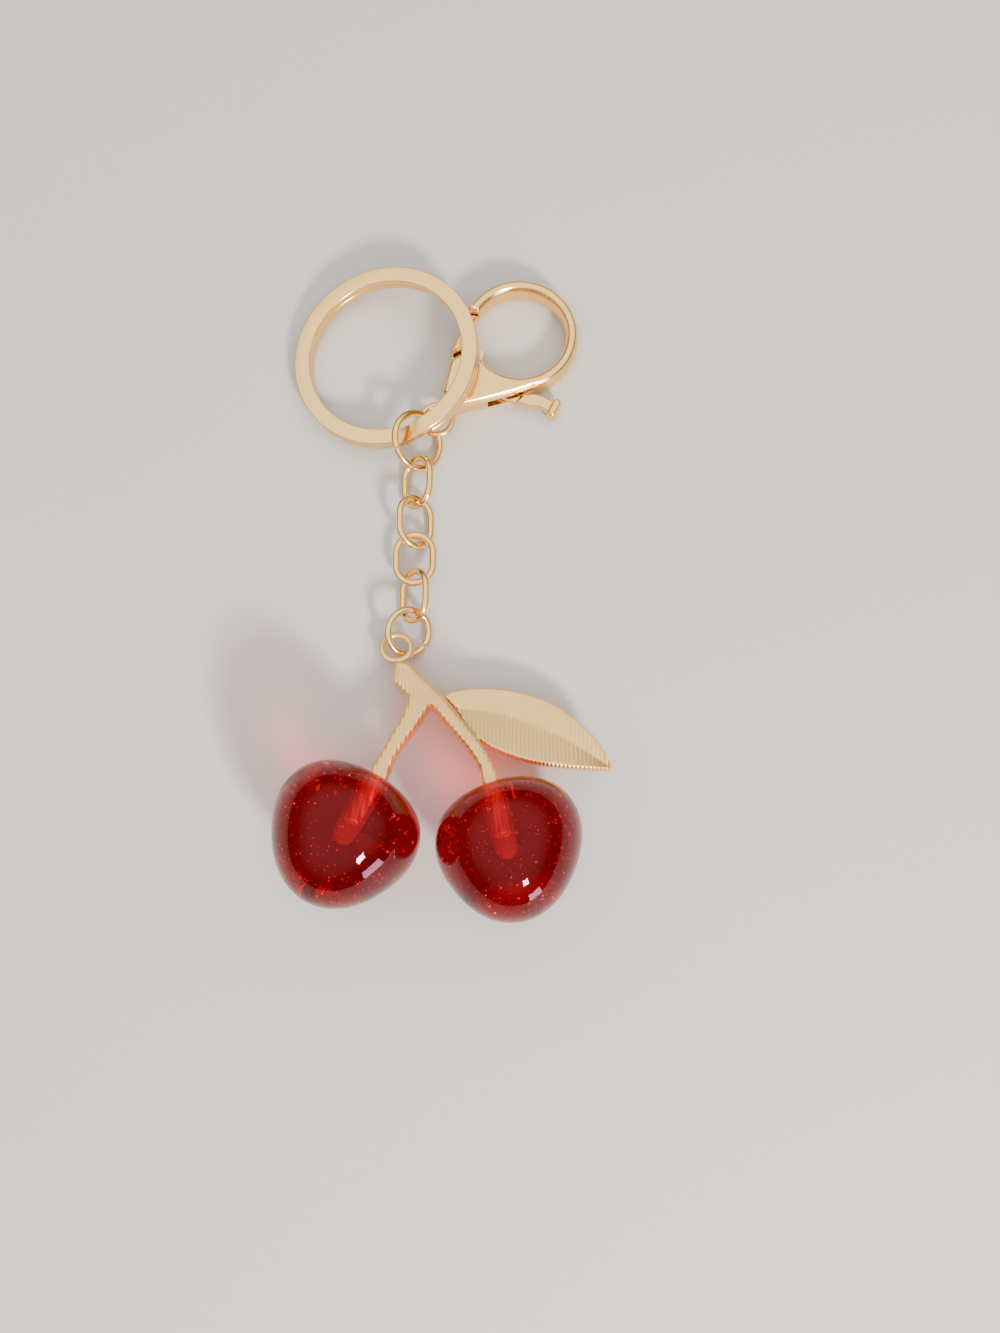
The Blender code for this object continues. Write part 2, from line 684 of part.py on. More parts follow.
def cherry_mesh(cherry, sides=30, rings=17):
    mesh = bmesh.new()
    rows = []
    for i in range(1, rings):
        polar = pi * i / rings
        row = []
        for j in range(sides):
            around = 2 * pi * j / sides
            r = cherry_radius(polar, around, cherry)
            row.append(mesh.verts.new(Vector((
                r * sin(polar) * cos(around), r * sin(polar) * sin(around), r * cos(polar))) * MM))
        rows.append(row)
    for one, two in zip(rows, rows[1:]):
        for j in range(sides):
            k = (j + 1) % sides
            mesh.faces.new((one[j], two[j], two[k], one[k]))
    top = mesh.verts.new(Vector((0, 0, cherry_radius(0.0, 0.0, cherry))) * MM)
    bottom = mesh.verts.new(Vector((0, 0, -cherry_radius(pi, 0.0, cherry))) * MM)
    for j in range(sides):
        k = (j + 1) % sides
        mesh.faces.new((top, rows[0][j], rows[0][k]))
        mesh.faces.new((bottom, rows[-1][k], rows[-1][j]))
    return mesh


def cherry_and_glue(side, cherry, resin, glue):
    """The drilled cherry and the plug of adhesive round the peg in its bore."""
    frame = charm_frame() @ cherry_axis(cherry)
    top = cherry_top(cherry)
    floor = top - BORE_DEPTH
    body = as_object(f"cherry_{side}", cherry_mesh(cherry), resin, frame)
    bore = cylinder((0, 0), BORE_RADIUS, floor, top + 3.0)
    combine(body, as_object(f"bore_{side}", bore, resin, frame), "DIFFERENCE")
    plug = cylinder((0, 0), BORE_RADIUS - GLUE_PLAY, floor + GLUE_PLAY, top - 0.6)
    plug = as_object(f"glue_{side}", plug, glue, frame)
    core = cylinder((0, 0), PEG_RADIUS + GLUE_PLAY, top - PEG_LENGTH - GLUE_PLAY, top + 3.0, 16)
    combine(plug, as_object(f"glue_core_{side}", core, glue, frame), "DIFFERENCE")
    return [body, plug]


# ---------------------------------------------------------------- the whole charm


def swing(name, point, pieces):
    """An empty on the axis that some pieces turn about together, as their parent."""
    empty = bpy.data.objects.new(name, None)
    empty.empty_display_size = 2 * MM
    bpy.context.scene.collection.objects.link(empty)
    empty.matrix_world = place(point)
    for piece in pieces:
        piece.parent = empty
        piece.matrix_parent_inverse = empty.matrix_world.inverted()


def clasp_pivot():
    """The middle of the jump ring's wire, inside the clasp's eye."""
    return on_wire(JUMP_POSE, ring_path(JUMP_RADIUS, CLASP_PIVOT)[0])


def charm_pivot():
    """The middle of the charm ring's wire, inside the casting's loop."""
    return on_wire(CHARM_RING_POSE, ring_path(CHARM_RING_RADIUS, CHARM_PIVOT)[0])


def main():
    empty_scene()
    polished = principled("light_gold_polished", (0.87, 0.69, 0.42), 0.18, metallic=1.0)
    satin = principled("light_gold_satin", (0.87, 0.69, 0.42), 0.38, metallic=1.0)
    steel = principled("spring_steel", (0.6, 0.6, 0.62), 0.3, metallic=1.0)
    resin = principled("red_resin", (0.42, 0.005, 0.02), 0.05, transmission=0.85)
    adhesive = principled("milky_adhesive", (0.75, 0.22, 0.30), 0.4)
    split_ring(polished)
    clasp = [clasp_body(polished), clasp_lever(polished), clasp_pin(polished), clasp_spring(steel)]
    swing("clasp_swing", clasp_pivot(), clasp)
    chain(polished)
    cherries = cherry_and_glue("left", LEFT_CHERRY, resin, adhesive)
    cherries += cherry_and_glue("right", RIGHT_CHERRY, resin, adhesive)
    swing("charm_swing", charm_pivot(), [stalk_casting(satin), *cherries])


main()
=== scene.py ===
"""Cherry key charm: two clear red resin cherries on a ridged gold casting, chain, ring and clasp.

The fixed frame comes from the CAD model. Shapes are worked out in millimetres in the frame in which
the charm lies on its table, and turned into metres in the CAD frame when a piece is finished.
"""

from __future__ import annotations

import logging
from collections.abc import Sequence
from dataclasses import dataclass, field
from enum import Enum
from math import acos, atan2, cos, degrees, hypot, pi, radians, sin
from typing import Any

import bmesh
import bpy
from mathutils import Euler, Matrix, Vector

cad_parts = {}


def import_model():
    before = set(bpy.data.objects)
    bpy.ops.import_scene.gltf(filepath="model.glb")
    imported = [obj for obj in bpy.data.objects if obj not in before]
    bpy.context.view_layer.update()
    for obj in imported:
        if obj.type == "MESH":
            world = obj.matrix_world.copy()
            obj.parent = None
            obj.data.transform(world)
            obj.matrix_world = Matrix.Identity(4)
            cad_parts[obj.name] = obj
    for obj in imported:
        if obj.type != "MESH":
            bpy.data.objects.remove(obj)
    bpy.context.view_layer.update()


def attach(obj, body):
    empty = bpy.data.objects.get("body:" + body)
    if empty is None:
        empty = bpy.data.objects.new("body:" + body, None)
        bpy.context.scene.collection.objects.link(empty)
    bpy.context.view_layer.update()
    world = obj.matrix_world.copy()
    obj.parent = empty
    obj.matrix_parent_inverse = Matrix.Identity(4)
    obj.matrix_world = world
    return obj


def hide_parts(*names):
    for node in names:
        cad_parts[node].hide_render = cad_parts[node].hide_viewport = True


LOG = logging.getLogger("cherry_key_charm")
MM = 0.001
ORIGIN = Vector((-8.342, 13.084, 0.0))  # the CAD frame's origin, in the table frame
RING_X, RING_Y = -17.9, 49.4  # the split ring's middle, in the table frame
VOXEL = 0.12  # grain of the cast pieces' meshes
LEVER_VOXEL = 0.1
HUMP_MEAN = 0.62  # about what a rectified sine averages, so the ridges add little to the size
REPEAT = 0.05  # points closer than this are one point
SHARPEST_MITER = 0.5  # keeps an inset outline from running away at its corners
RESIN_BOUNCES = 16  # a ray crosses a cherry, its column and several flakes
ALL_BOUNCES = 20
WIRE_ENDS = 40.0  # degrees: the edges of a wire's or a pin's cut ends stay sharp
CUT_EDGES = 38.0  # degrees: so do the slot's and the holes' in a casting
STRIP_EDGES = 50.0  # degrees
FLAKE_EDGES = 30.0  # degrees
CUT_OUT_BOUNCES = 12

Point = Sequence[float]
Pose = tuple[float, float, float, float, float]  # x, y and z, then roll and pitch in degrees
Outline = list[tuple[float, float]]


# ---------------------------------------------------------------- plane curves


def arc(centre: Point, radius: float, start: float, end: float, step: float = 4.0) -> Outline:
    """Points on an arc from one angle to the other, both included.

    Args:
        centre: The arc's centre.
        radius: Its radius.
        start: The first angle, in degrees.
        end: The last angle.
        step: The angle between two points.

    Returns:
        The points.
    """
    count = max(2, round(abs(end - start) / step) + 1)
    turns = [radians(start + (end - start) * i / (count - 1)) for i in range(count)]
    return [(centre[0] + radius * cos(t), centre[1] + radius * sin(t)) for t in turns]


def bearing(centre: Point, point: Point) -> float:
    """The angle in degrees of the line from a centre to a point."""
    return degrees(atan2(point[1] - centre[1], point[0] - centre[0]))


def circles_meet(a: Point, ra: float, b: Point, rb: float) -> tuple[float, float]:
    """Where two circles cross, on the right of the way from the first to the second.

    Args:
        a: The first circle's centre.
        ra: Its radius.
        b: The second circle's centre.
        rb: Its radius.

    Returns:
        The crossing.
    """
    apart = hypot(b[0] - a[0], b[1] - a[1])
    turn = acos((ra**2 + apart**2 - rb**2) / (2 * ra * apart))
    angle = atan2(b[1] - a[1], b[0] - a[0]) - turn
    return (a[0] + ra * cos(angle), a[1] + ra * sin(angle))


def smooth(points: Sequence[Point], steps: int = 7) -> list[tuple[float, ...]]:
    """A Catmull-Rom curve through some points.

    Args:
        points: The points, of two or three numbers each.
        steps: How many stretches stand between each two.

    Returns:
        The finer points, the given ones included.
    """
    ends = [points[0], *points, points[-1]]
    out: list[tuple[float, ...]] = []
    for p0, p1, p2, p3 in zip(ends, ends[1:], ends[2:], ends[3:]):
        for i in range(steps):
            t = i / steps
            out.append(tuple(
                0.5 * (2 * b + (c - a) * t + (2 * a - 5 * b + 4 * c - d) * t**2
                       + (3 * b - a - 3 * c + d) * t**3)
                for a, b, c, d in zip(p0, p1, p2, p3)))
    return [*out, tuple(points[-1])]


def inset(outline: Sequence[Point], by: float) -> list[Vector]:
    """A counter-clockwise outline moved inwards, with its corners' miters kept short.

    Args:
        outline: The outline's points.
        by: How far it moves.

    Returns:
        As many points, further in.
    """
    out = []
    for i, here in enumerate(outline):
        one = (Vector(here) - Vector(outline[i - 1])).normalized()
        two = (Vector(outline[(i + 1) % len(outline)]) - Vector(here)).normalized()
        inward = Vector((-one.y - two.y, one.x + two.x)).normalized()
        lean = max(SHARPEST_MITER, inward.dot(Vector((-one.y, one.x))))
        out.append(Vector(here) + inward * (by / lean))
    return out


def without_repeats(outline: Sequence[Point]) -> Outline:
    """Drops points that sit on the one before, such as where two arcs join.

    Args:
        outline: The outline's points.

    Returns:
        The points that stay.
    """
    out: Outline = []
    for point in outline:
        if not out or hypot(point[0] - out[-1][0], point[1] - out[-1][1]) > REPEAT:
            out.append((point[0], point[1]))
    if hypot(out[0][0] - out[-1][0], out[0][1] - out[-1][1]) < REPEAT:
        out.pop()
    return out


def resample(points: Sequence[Point], count: int) -> list[Vector]:
    """Points on a curve, evenly along its length.

    Args:
        points: The curve's own points.
        count: How many points are wanted.

    Returns:
        The new points, both ends included.
    """
    lengths = [0.0]
    for a, b in zip(points, points[1:]):
        lengths.append(lengths[-1] + hypot(b[0] - a[0], b[1] - a[1]))
    out = []
    for i in range(count):
        want = lengths[-1] * i / (count - 1)
        k = max(0, min(len(points) - 2, sum(length < want for length in lengths) - 1))
        share = (want - lengths[k]) / (lengths[k + 1] - lengths[k])
        out.append(Vector(points[k]).lerp(Vector(points[k + 1]), min(1.0, share)))
    return out


# ---------------------------------------------------------------- meshes, in millimetres


def skin(rings: Sequence[Sequence[Point]], closed: bool = False) -> bmesh.types.BMesh:
    """A closed mesh from a stack of equal rings of points.

    Args:
        rings: The rings, each a loop of points.
        closed: True if the last ring meets the first, and False if both ends are filled.

    Returns:
        The mesh.
    """
    mesh = bmesh.new()
    loops = [[mesh.verts.new(Vector(p)) for p in ring] for ring in rings]
    pairs = zip(loops, loops[1:] + loops[:1]) if closed else zip(loops, loops[1:])
    for low, high in pairs:
        for i in range(len(low)):
            j = (i + 1) % len(low)
            mesh.faces.new((low[i], low[j], high[j], high[i]))
    if not closed:
        mesh.faces.new(list(reversed(loops[0])))
        mesh.faces.new(loops[-1])
    return mesh


def rounded_plate(outline: Sequence[Point], low: float, high: float, edge: float,
                  rise: float | None = None, steps: int = 6) -> bmesh.types.BMesh:
    """A plate of an outline's shape with rounded edges; the outline runs counter-clockwise.

    Args:
        outline: The plate's plan.
        low: Height of its lower face.
        high: Height of its upper face.
        edge: How far the rounding reaches in from the edge.
        rise: How far it reaches down the side, the same as edge if left out.
        steps: Stretches in each rounding.

    Returns:
        The mesh.
    """
    outline = without_repeats(outline)
    rise = edge if rise is None else rise
    turns = [pi / 2 * i / steps for i in range(steps + 1)]
    lower = [(edge * (1 - sin(t)), low + rise * (1 - cos(t))) for t in turns]
    upper = [(by, high + low - z) for by, z in reversed(lower)]
    return skin([[(p.x, p.y, z) for p in inset(outline, by)] for by, z in lower + upper])


def prism(outline: Sequence[Point], low: float, high: float) -> bmesh.types.BMesh:
    """A straight-sided plate of an outline's shape."""
    return skin([[(p[0], p[1], z) for p in outline] for z in (low, high)])


def round_bar(centre: Point, stations: Sequence[tuple[float, float]],
              sides: int = 48) -> bmesh.types.BMesh:
    """A turned bar along Z.

    Args:
        centre: Its axis, in plan.
        stations: Its height and radius at each step from the bottom up.
        sides: Faces round it.

    Returns:
        The mesh.
    """
    return skin([[(x, y, z) for x, y in arc(centre, r, 0, 360 - 360 / sides, 360 / sides)]
                 for z, r in stations])


def torus(radius: float, wire: float, height: float = 0.0, around: int = 96,
          sides: int = 24) -> bmesh.types.BMesh:
    """A closed ring of round wire, lying flat.

    Args:
        radius: From the ring's centre to the middle of the wire.
        wire: The wire's radius.
        height: Height of the wire's middle.
        around: Faces along the wire.
        sides: Faces round it.

    Returns:
        The mesh.
    """
    rings = []
    for i in range(around):
        turn = 2 * pi * i / around
        section = arc((radius, height), wire, 0, 360 - 360 / sides, 360 / sides)
        rings.append([(r * cos(turn), r * sin(turn), z) for r, z in section])
    return skin(rings, closed=True)


# ---------------------------------------------------------------- objects


def place(point: Point, turn: Euler | None = None) -> Matrix:
    """The matrix, in millimetres, of a frame at a point of the table frame."""
    at = Matrix.Translation(Vector(point) - ORIGIN)
    return at @ turn.to_matrix().to_4x4() if turn else at


def posed(pose: Pose) -> Matrix:
    """The frame of a flat piece whose right side is lifted by roll, then its top by pitch."""
    x, y, z, roll, pitch = pose
    return place((x, y, z), Euler((radians(pitch), -radians(roll), 0.0), "YXZ"))


def add_object(name: str, data: bpy.types.ID) -> bpy.types.Object:
    """A new object in the scene, from its mesh, curve, light or camera."""
    obj = bpy.data.objects.new(name, data)
    bpy.context.scene.collection.objects.link(obj)
    return obj


def draft(name: str, meshes: Sequence[bmesh.types.BMesh]) -> bpy.types.Object:
    """One object, still in millimetres, from meshes that may overlap.

    Args:
        name: The object's name.
        meshes: The meshes, which are used up.

    Returns:
        The object.
    """
    data = bpy.data.meshes.new(name)
    whole = bmesh.new()
    for mesh in meshes:
        bmesh.ops.recalc_face_normals(mesh, faces=mesh.faces)
        part = bpy.data.meshes.new(name)
        mesh.to_mesh(part)
        mesh.free()
        whole.from_mesh(part)
        bpy.data.meshes.remove(part)
    whole.to_mesh(data)
    whole.free()
    return add_object(name, data)


def cut(obj: bpy.types.Object, cutters: Sequence[bmesh.types.BMesh]) -> None:
    """Takes each cutter's shape out of an object.

    Args:
        obj: The object.
        cutters: Meshes of the shapes, which are used up.
    """
    for mesh in cutters:
        tool = draft("cutter", [mesh])
        modifier = obj.modifiers.new("cut", "BOOLEAN")
        modifier.operation = "DIFFERENCE"
        modifier.solver = "EXACT"
        modifier.object = tool
        settle(obj)
        bpy.data.objects.remove(tool, do_unlink=True)


def evaluated_mesh(obj: bpy.types.Object) -> bpy.types.Mesh:
    """What an object's modifiers make of it, as a plain mesh."""
    graph = bpy.context.evaluated_depsgraph_get()
    return bpy.data.meshes.new_from_object(obj.evaluated_get(graph), depsgraph=graph)


def settle(obj: bpy.types.Object) -> None:
    """Turns an object's modifiers into its mesh."""
    data = evaluated_mesh(obj)
    obj.modifiers.clear()
    obj.data = data


def remesh(obj: bpy.types.Object, voxel: float, rounds: int) -> None:
    """Fuses overlapping shapes into one fine skin and softens its corners, as casting does.

    Args:
        obj: The object.
        voxel: The size of the skin's faces.
        rounds: How often each point moves towards its neighbours.
    """
    fuse = obj.modifiers.new("fuse", "REMESH")
    fuse.mode = "VOXEL"
    fuse.voxel_size = voxel
    soften = obj.modifiers.new("soften", "SMOOTH")
    soften.factor = 0.5
    soften.iterations = rounds
    settle(obj)


def finished(obj: bpy.types.Object, name: str, material: bpy.types.Material, frame: Matrix,
             sharp: float = 180.0) -> bpy.types.Object:
    """Moves an object's mesh to its place in metres, and gives it its name and finish.

    Args:
        obj: A draft in millimetres.
        name: The piece's name.
        material: Its finish.
        frame: Its place, in millimetres.
        sharp: Edges steeper than this many degrees stay sharp.

    Returns:
        The piece.
    """
    if obj.type == "CURVE":
        data = evaluated_mesh(obj)
        bpy.data.objects.remove(obj, do_unlink=True)
        obj = add_object(name, data)
    obj.name = name
    obj.data.name = name
    obj.data.transform(Matrix.Scale(MM, 4) @ frame)
    obj.data.materials.clear()
    obj.data.materials.append(material)
    obj.data.polygons.foreach_set("material_index", [0] * len(obj.data.polygons))
    obj.data.shade_smooth()
    if sharp < 180.0:
        obj.data.set_sharp_from_angle(angle=radians(sharp))
    obj.data.update()
    return obj


def deliver(piece: bpy.types.Object, body: str, slot: str, *nodes: str) -> None:
    """Puts a piece on its body and hides the solids that it stands for.

    Args:
        piece: The finished piece.
        body: The body that it moves with.
        slot: The record's finish that it takes; not used.
        *nodes: The solids that it stands for.
    """
    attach(piece, body)
    if nodes:
        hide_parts(*nodes)
    LOG.info("%s: %d faces on %s", piece.name, len(piece.data.polygons), body)


# ---------------------------------------------------------------- nodes


def add_node(tree: bpy.types.NodeTree, kind: str, inputs: dict[Any, Any] | None = None,
             **settings: Any) -> bpy.types.Node:
    """Adds a node with its settings and its inputs.

    Args:
        tree: The tree that it goes in.
        kind: The node's type.
        inputs: A value, or a socket to link from, for each input's name or number.
        **settings: The node's own properties.

    Returns:
        The node.
    """
    node = tree.nodes.new(kind)
    for key, value in settings.items():
        setattr(node, key, value)
    for key, value in (inputs or {}).items():
        if isinstance(value, bpy.types.NodeSocket):
            tree.links.new(value, node.inputs[key])
        else:
            node.inputs[key].default_value = value
    return node


def new_shape_tree(name: str, sizes: dict[str, tuple[str, float]]) -> bpy.types.NodeTree:
    """An empty shape tree with a Geometry socket each way.

    Args:
        name: The tree's name.
        sizes: Each named input's socket type and usual value.

    Returns:
        The tree.
    """
    tree = bpy.data.node_groups.new(name, "GeometryNodeTree")
    tree.interface.new_socket("Geometry", in_out="INPUT", socket_type="NodeSocketGeometry")
    tree.interface.new_socket("Geometry", in_out="OUTPUT", socket_type="NodeSocketGeometry")
    for label, (kind, value) in sizes.items():
        socket = tree.interface.new_socket(label, in_out="INPUT", socket_type=kind)
        socket.default_value = value
    return tree


def grow(obj: bpy.types.Object, tree: bpy.types.NodeTree, **sizes: float) -> None:
    """Runs a shape tree on an object, with some of its sizes set, and keeps the result.

    Args:
        obj: The object.
        tree: The tree.
        **sizes: Values by the sockets' names, with _ for a space.
    """
    modifier = obj.modifiers.new(tree.name, "NODES")
    modifier.node_group = tree
    for item in tree.interface.items_tree:
        key = item.name.replace(" ", "_")
        if item.in_out == "INPUT" and key in sizes:
            modifier[item.identifier] = sizes[key]
    if obj.type == "MESH":
        settle(obj)


def end_tree(tree: bpy.types.NodeTree, shape: bpy.types.NodeSocket,
             material: bpy.types.Material) -> bpy.types.NodeTree:
    """Ends a shape tree: instances made real, dressed and sent out.

    Args:
        tree: The tree.
        shape: The socket that gives its geometry.
        material: The finish that the geometry gets.

    Returns:
        The same tree.
    """
    real = add_node(tree, "GeometryNodeRealizeInstances", {"Geometry": shape})
    dressed = add_node(tree, "GeometryNodeSetMaterial",
                       {"Geometry": real.outputs["Geometry"], "Material": material})
    add_node(tree, "NodeGroupOutput", {"Geometry": dressed.outputs["Geometry"]})
    return tree


def wire_tree(material: bpy.types.Material) -> bpy.types.NodeTree:
    """Round wire swept along a curve.

    Args:
        material: The wire's finish.

    Returns:
        The shape tree.
    """
    tree = new_shape_tree("round wire", {"Wire radius": ("NodeSocketFloat", 0.5)})
    start = add_node(tree, "NodeGroupInput")
    profile = add_node(tree, "GeometryNodeCurvePrimitiveCircle",
                       {"Resolution": 28, "Radius": start.outputs["Wire radius"]})
    swept = add_node(tree, "GeometryNodeCurveToMesh",
                     {"Curve": start.outputs["Geometry"],
                      "Profile Curve": profile.outputs["Curve"], "Fill Caps": True})
    return end_tree(tree, swept.outputs["Mesh"], material)


def ridge_tree(material: bpy.types.Material) -> bpy.types.NodeTree:
    """Fine parallel ridges raised on a casting, fading out towards its hanging loop.

    The ridges are the humps of a rectified sine across the casting, let wander a little.

    Args:
        material: The casting's finish.

    Returns:
        The shape tree.
    """
    tree = new_shape_tree("cast ridges", {
        "Pitch": ("NodeSocketFloat", 0.6), "Depth": ("NodeSocketFloat", 0.1),
        "Plain above": ("NodeSocketFloat", -3.4), "Wander": ("NodeSocketFloat", 0.35)})
    start = add_node(tree, "NodeGroupInput")
    where = add_node(tree, "GeometryNodeInputPosition")
    axes = add_node(tree, "ShaderNodeSeparateXYZ", {0: where.outputs[0]})
    noise = add_node(tree, "ShaderNodeTexNoise", {"Vector": where.outputs[0], "Scale": 0.22,
                                                  "Detail": 1.0})
    drift = add_node(tree, "ShaderNodeMath", {0: noise.outputs[0], 1: start.outputs["Wander"]},
                     operation="MULTIPLY")
    across = add_node(tree, "ShaderNodeMath", {0: axes.outputs["X"], 1: drift.outputs[0]},
                      operation="ADD")
    high = across
    for operation, operand in (("DIVIDE", {1: start.outputs["Pitch"]}), ("MULTIPLY", {1: pi}),
                               ("SINE", {}), ("ABSOLUTE", {}), ("SUBTRACT", {1: HUMP_MEAN}),
                               ("MULTIPLY", {1: start.outputs["Depth"]})):
        high = add_node(tree, "ShaderNodeMath", {0: high.outputs[0], **operand},
                        operation=operation)
    below = add_node(tree, "ShaderNodeMath",
                     {0: start.outputs["Plain above"], 1: axes.outputs["Y"]},
                     operation="SUBTRACT", use_clamp=True)
    share = add_node(tree, "ShaderNodeMath", {0: high.outputs[0], 1: below.outputs[0]},
                     operation="MULTIPLY")
    outwards = add_node(tree, "GeometryNodeInputNormal")
    shift = add_node(tree, "ShaderNodeVectorMath",
                     {0: outwards.outputs[0], "Scale": share.outputs[0]}, operation="SCALE")
    moved = add_node(tree, "GeometryNodeSetPosition",
                     {"Geometry": start.outputs["Geometry"], "Offset": shift.outputs[0]})
    return end_tree(tree, moved.outputs[0], material)


def flake_tree(material: bpy.types.Material) -> bpy.types.NodeTree:
    """Small hexagonal flakes strewn in drifts at all depths under a surface.

    Args:
        material: The flakes' finish.

    Returns:
        The shape tree.
    """
    tree = new_shape_tree("glitter flakes", {
        "Density": ("NodeSocketFloat", 0.1), "Flake radius": ("NodeSocketFloat", 0.2),
        "Shallowest": ("NodeSocketFloat", 0.08), "Deepest": ("NodeSocketFloat", 0.6),
        "Seed": ("NodeSocketInt", 1)})
    start = add_node(tree, "NodeGroupInput")
    where = add_node(tree, "GeometryNodeInputPosition")
    cloud = add_node(tree, "ShaderNodeTexNoise", {"Vector": where.outputs[0], "Scale": 0.2,
                                                  "Detail": 1.0})
    crowd = add_node(tree, "ShaderNodeMapRange",
                     {"Value": cloud.outputs[0], "From Min": 0.38, "From Max": 0.68,
                      "To Min": 0.12, "To Max": 1.9})
    local = add_node(tree, "ShaderNodeMath",
                     {0: crowd.outputs[0], 1: start.outputs["Density"]}, operation="MULTIPLY")
    strewn = add_node(tree, "GeometryNodeDistributePointsOnFaces",
                      {"Mesh": start.outputs["Geometry"], "Density": local.outputs[0],
                       "Seed": start.outputs["Seed"]})
    depth = add_node(tree, "FunctionNodeRandomValue",
                     {2: start.outputs["Shallowest"], 3: start.outputs["Deepest"],
                      "Seed": start.outputs["Seed"]}, data_type="FLOAT")
    back = add_node(tree, "ShaderNodeMath", {0: depth.outputs[1], 1: -1.0}, operation="MULTIPLY")
    inwards = add_node(tree, "ShaderNodeVectorMath",
                       {0: where.outputs[0], "Scale": back.outputs[0]}, operation="SCALE")
    sunk = add_node(tree, "GeometryNodeSetPosition",
                    {"Geometry": strewn.outputs["Points"], "Offset": inwards.outputs[0]})
    flake = add_node(tree, "GeometryNodeMeshCylinder",
                     {"Vertices": 6, "Radius": start.outputs["Flake radius"], "Depth": 0.03})
    turn = add_node(tree, "FunctionNodeRandomValue",
                    {0: (-pi, -pi, -pi), 1: (pi, pi, pi), "Seed": 7}, data_type="FLOAT_VECTOR")
    size = add_node(tree, "FunctionNodeRandomValue", {2: 0.5, 3: 1.3, "Seed": 11},
                    data_type="FLOAT")
    set_out = add_node(tree, "GeometryNodeInstanceOnPoints",
                       {"Points": sunk.outputs[0], "Instance": flake.outputs["Mesh"],
                        "Rotation": turn.outputs[0], "Scale": size.outputs[1]})
    return end_tree(tree, set_out.outputs[0], material)


# ---------------------------------------------------------------- finishes


def linear(hex_colour: str) -> tuple[float, float, float, float]:
    """A colour in linear light.

    Args:
        hex_colour: The colour in sRGB, as # and six digits.

    Returns:
        Its red, green, blue and alpha.
    """
    parts = [int(hex_colour[i:i + 2], 16) / 255 for i in (1, 3, 5)]
    scaled = [p / 12.92 if p <= 0.04045 else ((p + 0.055) / 1.055) ** 2.4 for p in parts]
    return (*scaled, 1.0)


def per_metre(size_mm: float) -> float:
    """A texture's scale, on coordinates in metres, for a grain of a size in millimetres."""
    return 1.0 / (size_mm * MM)


def new_material(name: str) -> tuple[bpy.types.Material, bpy.types.NodeTree, bpy.types.Node]:
    """An empty procedural material.

    Args:
        name: The finish's own name.

    Returns:
        The material, its tree, and its output node.
    """
    material = bpy.data.materials.new(name)
    material.use_nodes = True
    tree = material.node_tree
    tree.nodes.clear()
    return material, tree, add_node(tree, "ShaderNodeOutputMaterial")


@dataclass(frozen=True)
class PlatedMetal:
    """A metal surface, bright plated over cast or drawn metal, with its fine unevenness."""

    name: str
    colour: str
    roughness: tuple[float, float]  # where it is cleanest and where it is most handled
    grain_mm: float  # size of the unevenness left by polishing or casting
    bump_mm: float  # its height

    def material(self) -> bpy.types.Material:
        """The finish as a material."""
        material, tree, output = new_material(self.name)
        place_on = add_node(tree, "ShaderNodeTexCoord")
        wear = add_node(tree, "ShaderNodeTexNoise",
                        {"Vector": place_on.outputs["Object"], "Scale": per_metre(3.0),
                         "Detail": 3.0})
        low, high = self.roughness
        rough = add_node(tree, "ShaderNodeMapRange",
                         {"Value": wear.outputs[0], "From Min": 0.3, "From Max": 0.7,
                          "To Min": low, "To Max": high})
        grain = add_node(tree, "ShaderNodeTexNoise",
                         {"Vector": place_on.outputs["Object"],
                          "Scale": per_metre(self.grain_mm), "Detail": 4.0})
        bump = add_node(tree, "ShaderNodeBump",
                        {"Height": grain.outputs[0], "Distance": self.bump_mm * MM,
                         "Strength": 1.0})
        shader = add_node(tree, "ShaderNodeBsdfPrincipled",
                          {"Base Color": linear(self.colour), "Metallic": 1.0,
                           "Roughness": rough.outputs[0], "Normal": bump.outputs[0]})
        tree.links.new(shader.outputs[0], output.inputs["Surface"])
        return material


@dataclass(frozen=True)
class ClearResin:
    """Cast polyester resin, tinted through: it darkens with depth and lets lamps through."""

    name: str = "tinted_cast_resin"
    skin: str = "#dc1c60"  # what one crossing of the surface lets through
    sheen: str = "#e08890"
    shadow: str = "#b42838"  # what a lamp's light keeps at each surface
    tint: str = "#e83092"
    density: float = 190.0  # per metre
    ior: float = 1.47
    roughness: float = 0.03

    def material(self) -> bpy.types.Material:
        """The resin as a material."""
        material, tree, output = new_material(self.name)
        place_on = add_node(tree, "ShaderNodeTexCoord")
        swirl = add_node(tree, "ShaderNodeTexNoise",
                         {"Vector": place_on.outputs["Object"], "Scale": per_metre(4.0),
                          "Detail": 1.0})
        bump = add_node(tree, "ShaderNodeBump",
                        {"Height": swirl.outputs[0], "Distance": 0.03 * MM, "Strength": 1.0})
        glass = add_node(tree, "ShaderNodeBsdfPrincipled",
                         {"Base Color": linear(self.skin), "Roughness": self.roughness,
                          "IOR": self.ior, "Transmission Weight": 1.0,
                          "Specular Tint": linear(self.sheen),
                          "Normal": bump.outputs[0]})
        clear = add_node(tree, "ShaderNodeBsdfTransparent", {"Color": linear(self.shadow)})
        path = add_node(tree, "ShaderNodeLightPath")
        mixed = add_node(tree, "ShaderNodeMixShader",
                         {0: path.outputs["Is Shadow Ray"], 1: glass.outputs[0],
                          2: clear.outputs[0]})
        depth = add_node(tree, "ShaderNodeVolumeAbsorption",
                         {"Color": linear(self.tint), "Density": self.density})
        tree.links.new(mixed.outputs[0], output.inputs["Surface"])
        tree.links.new(depth.outputs[0], output.inputs["Volume"])
        return material


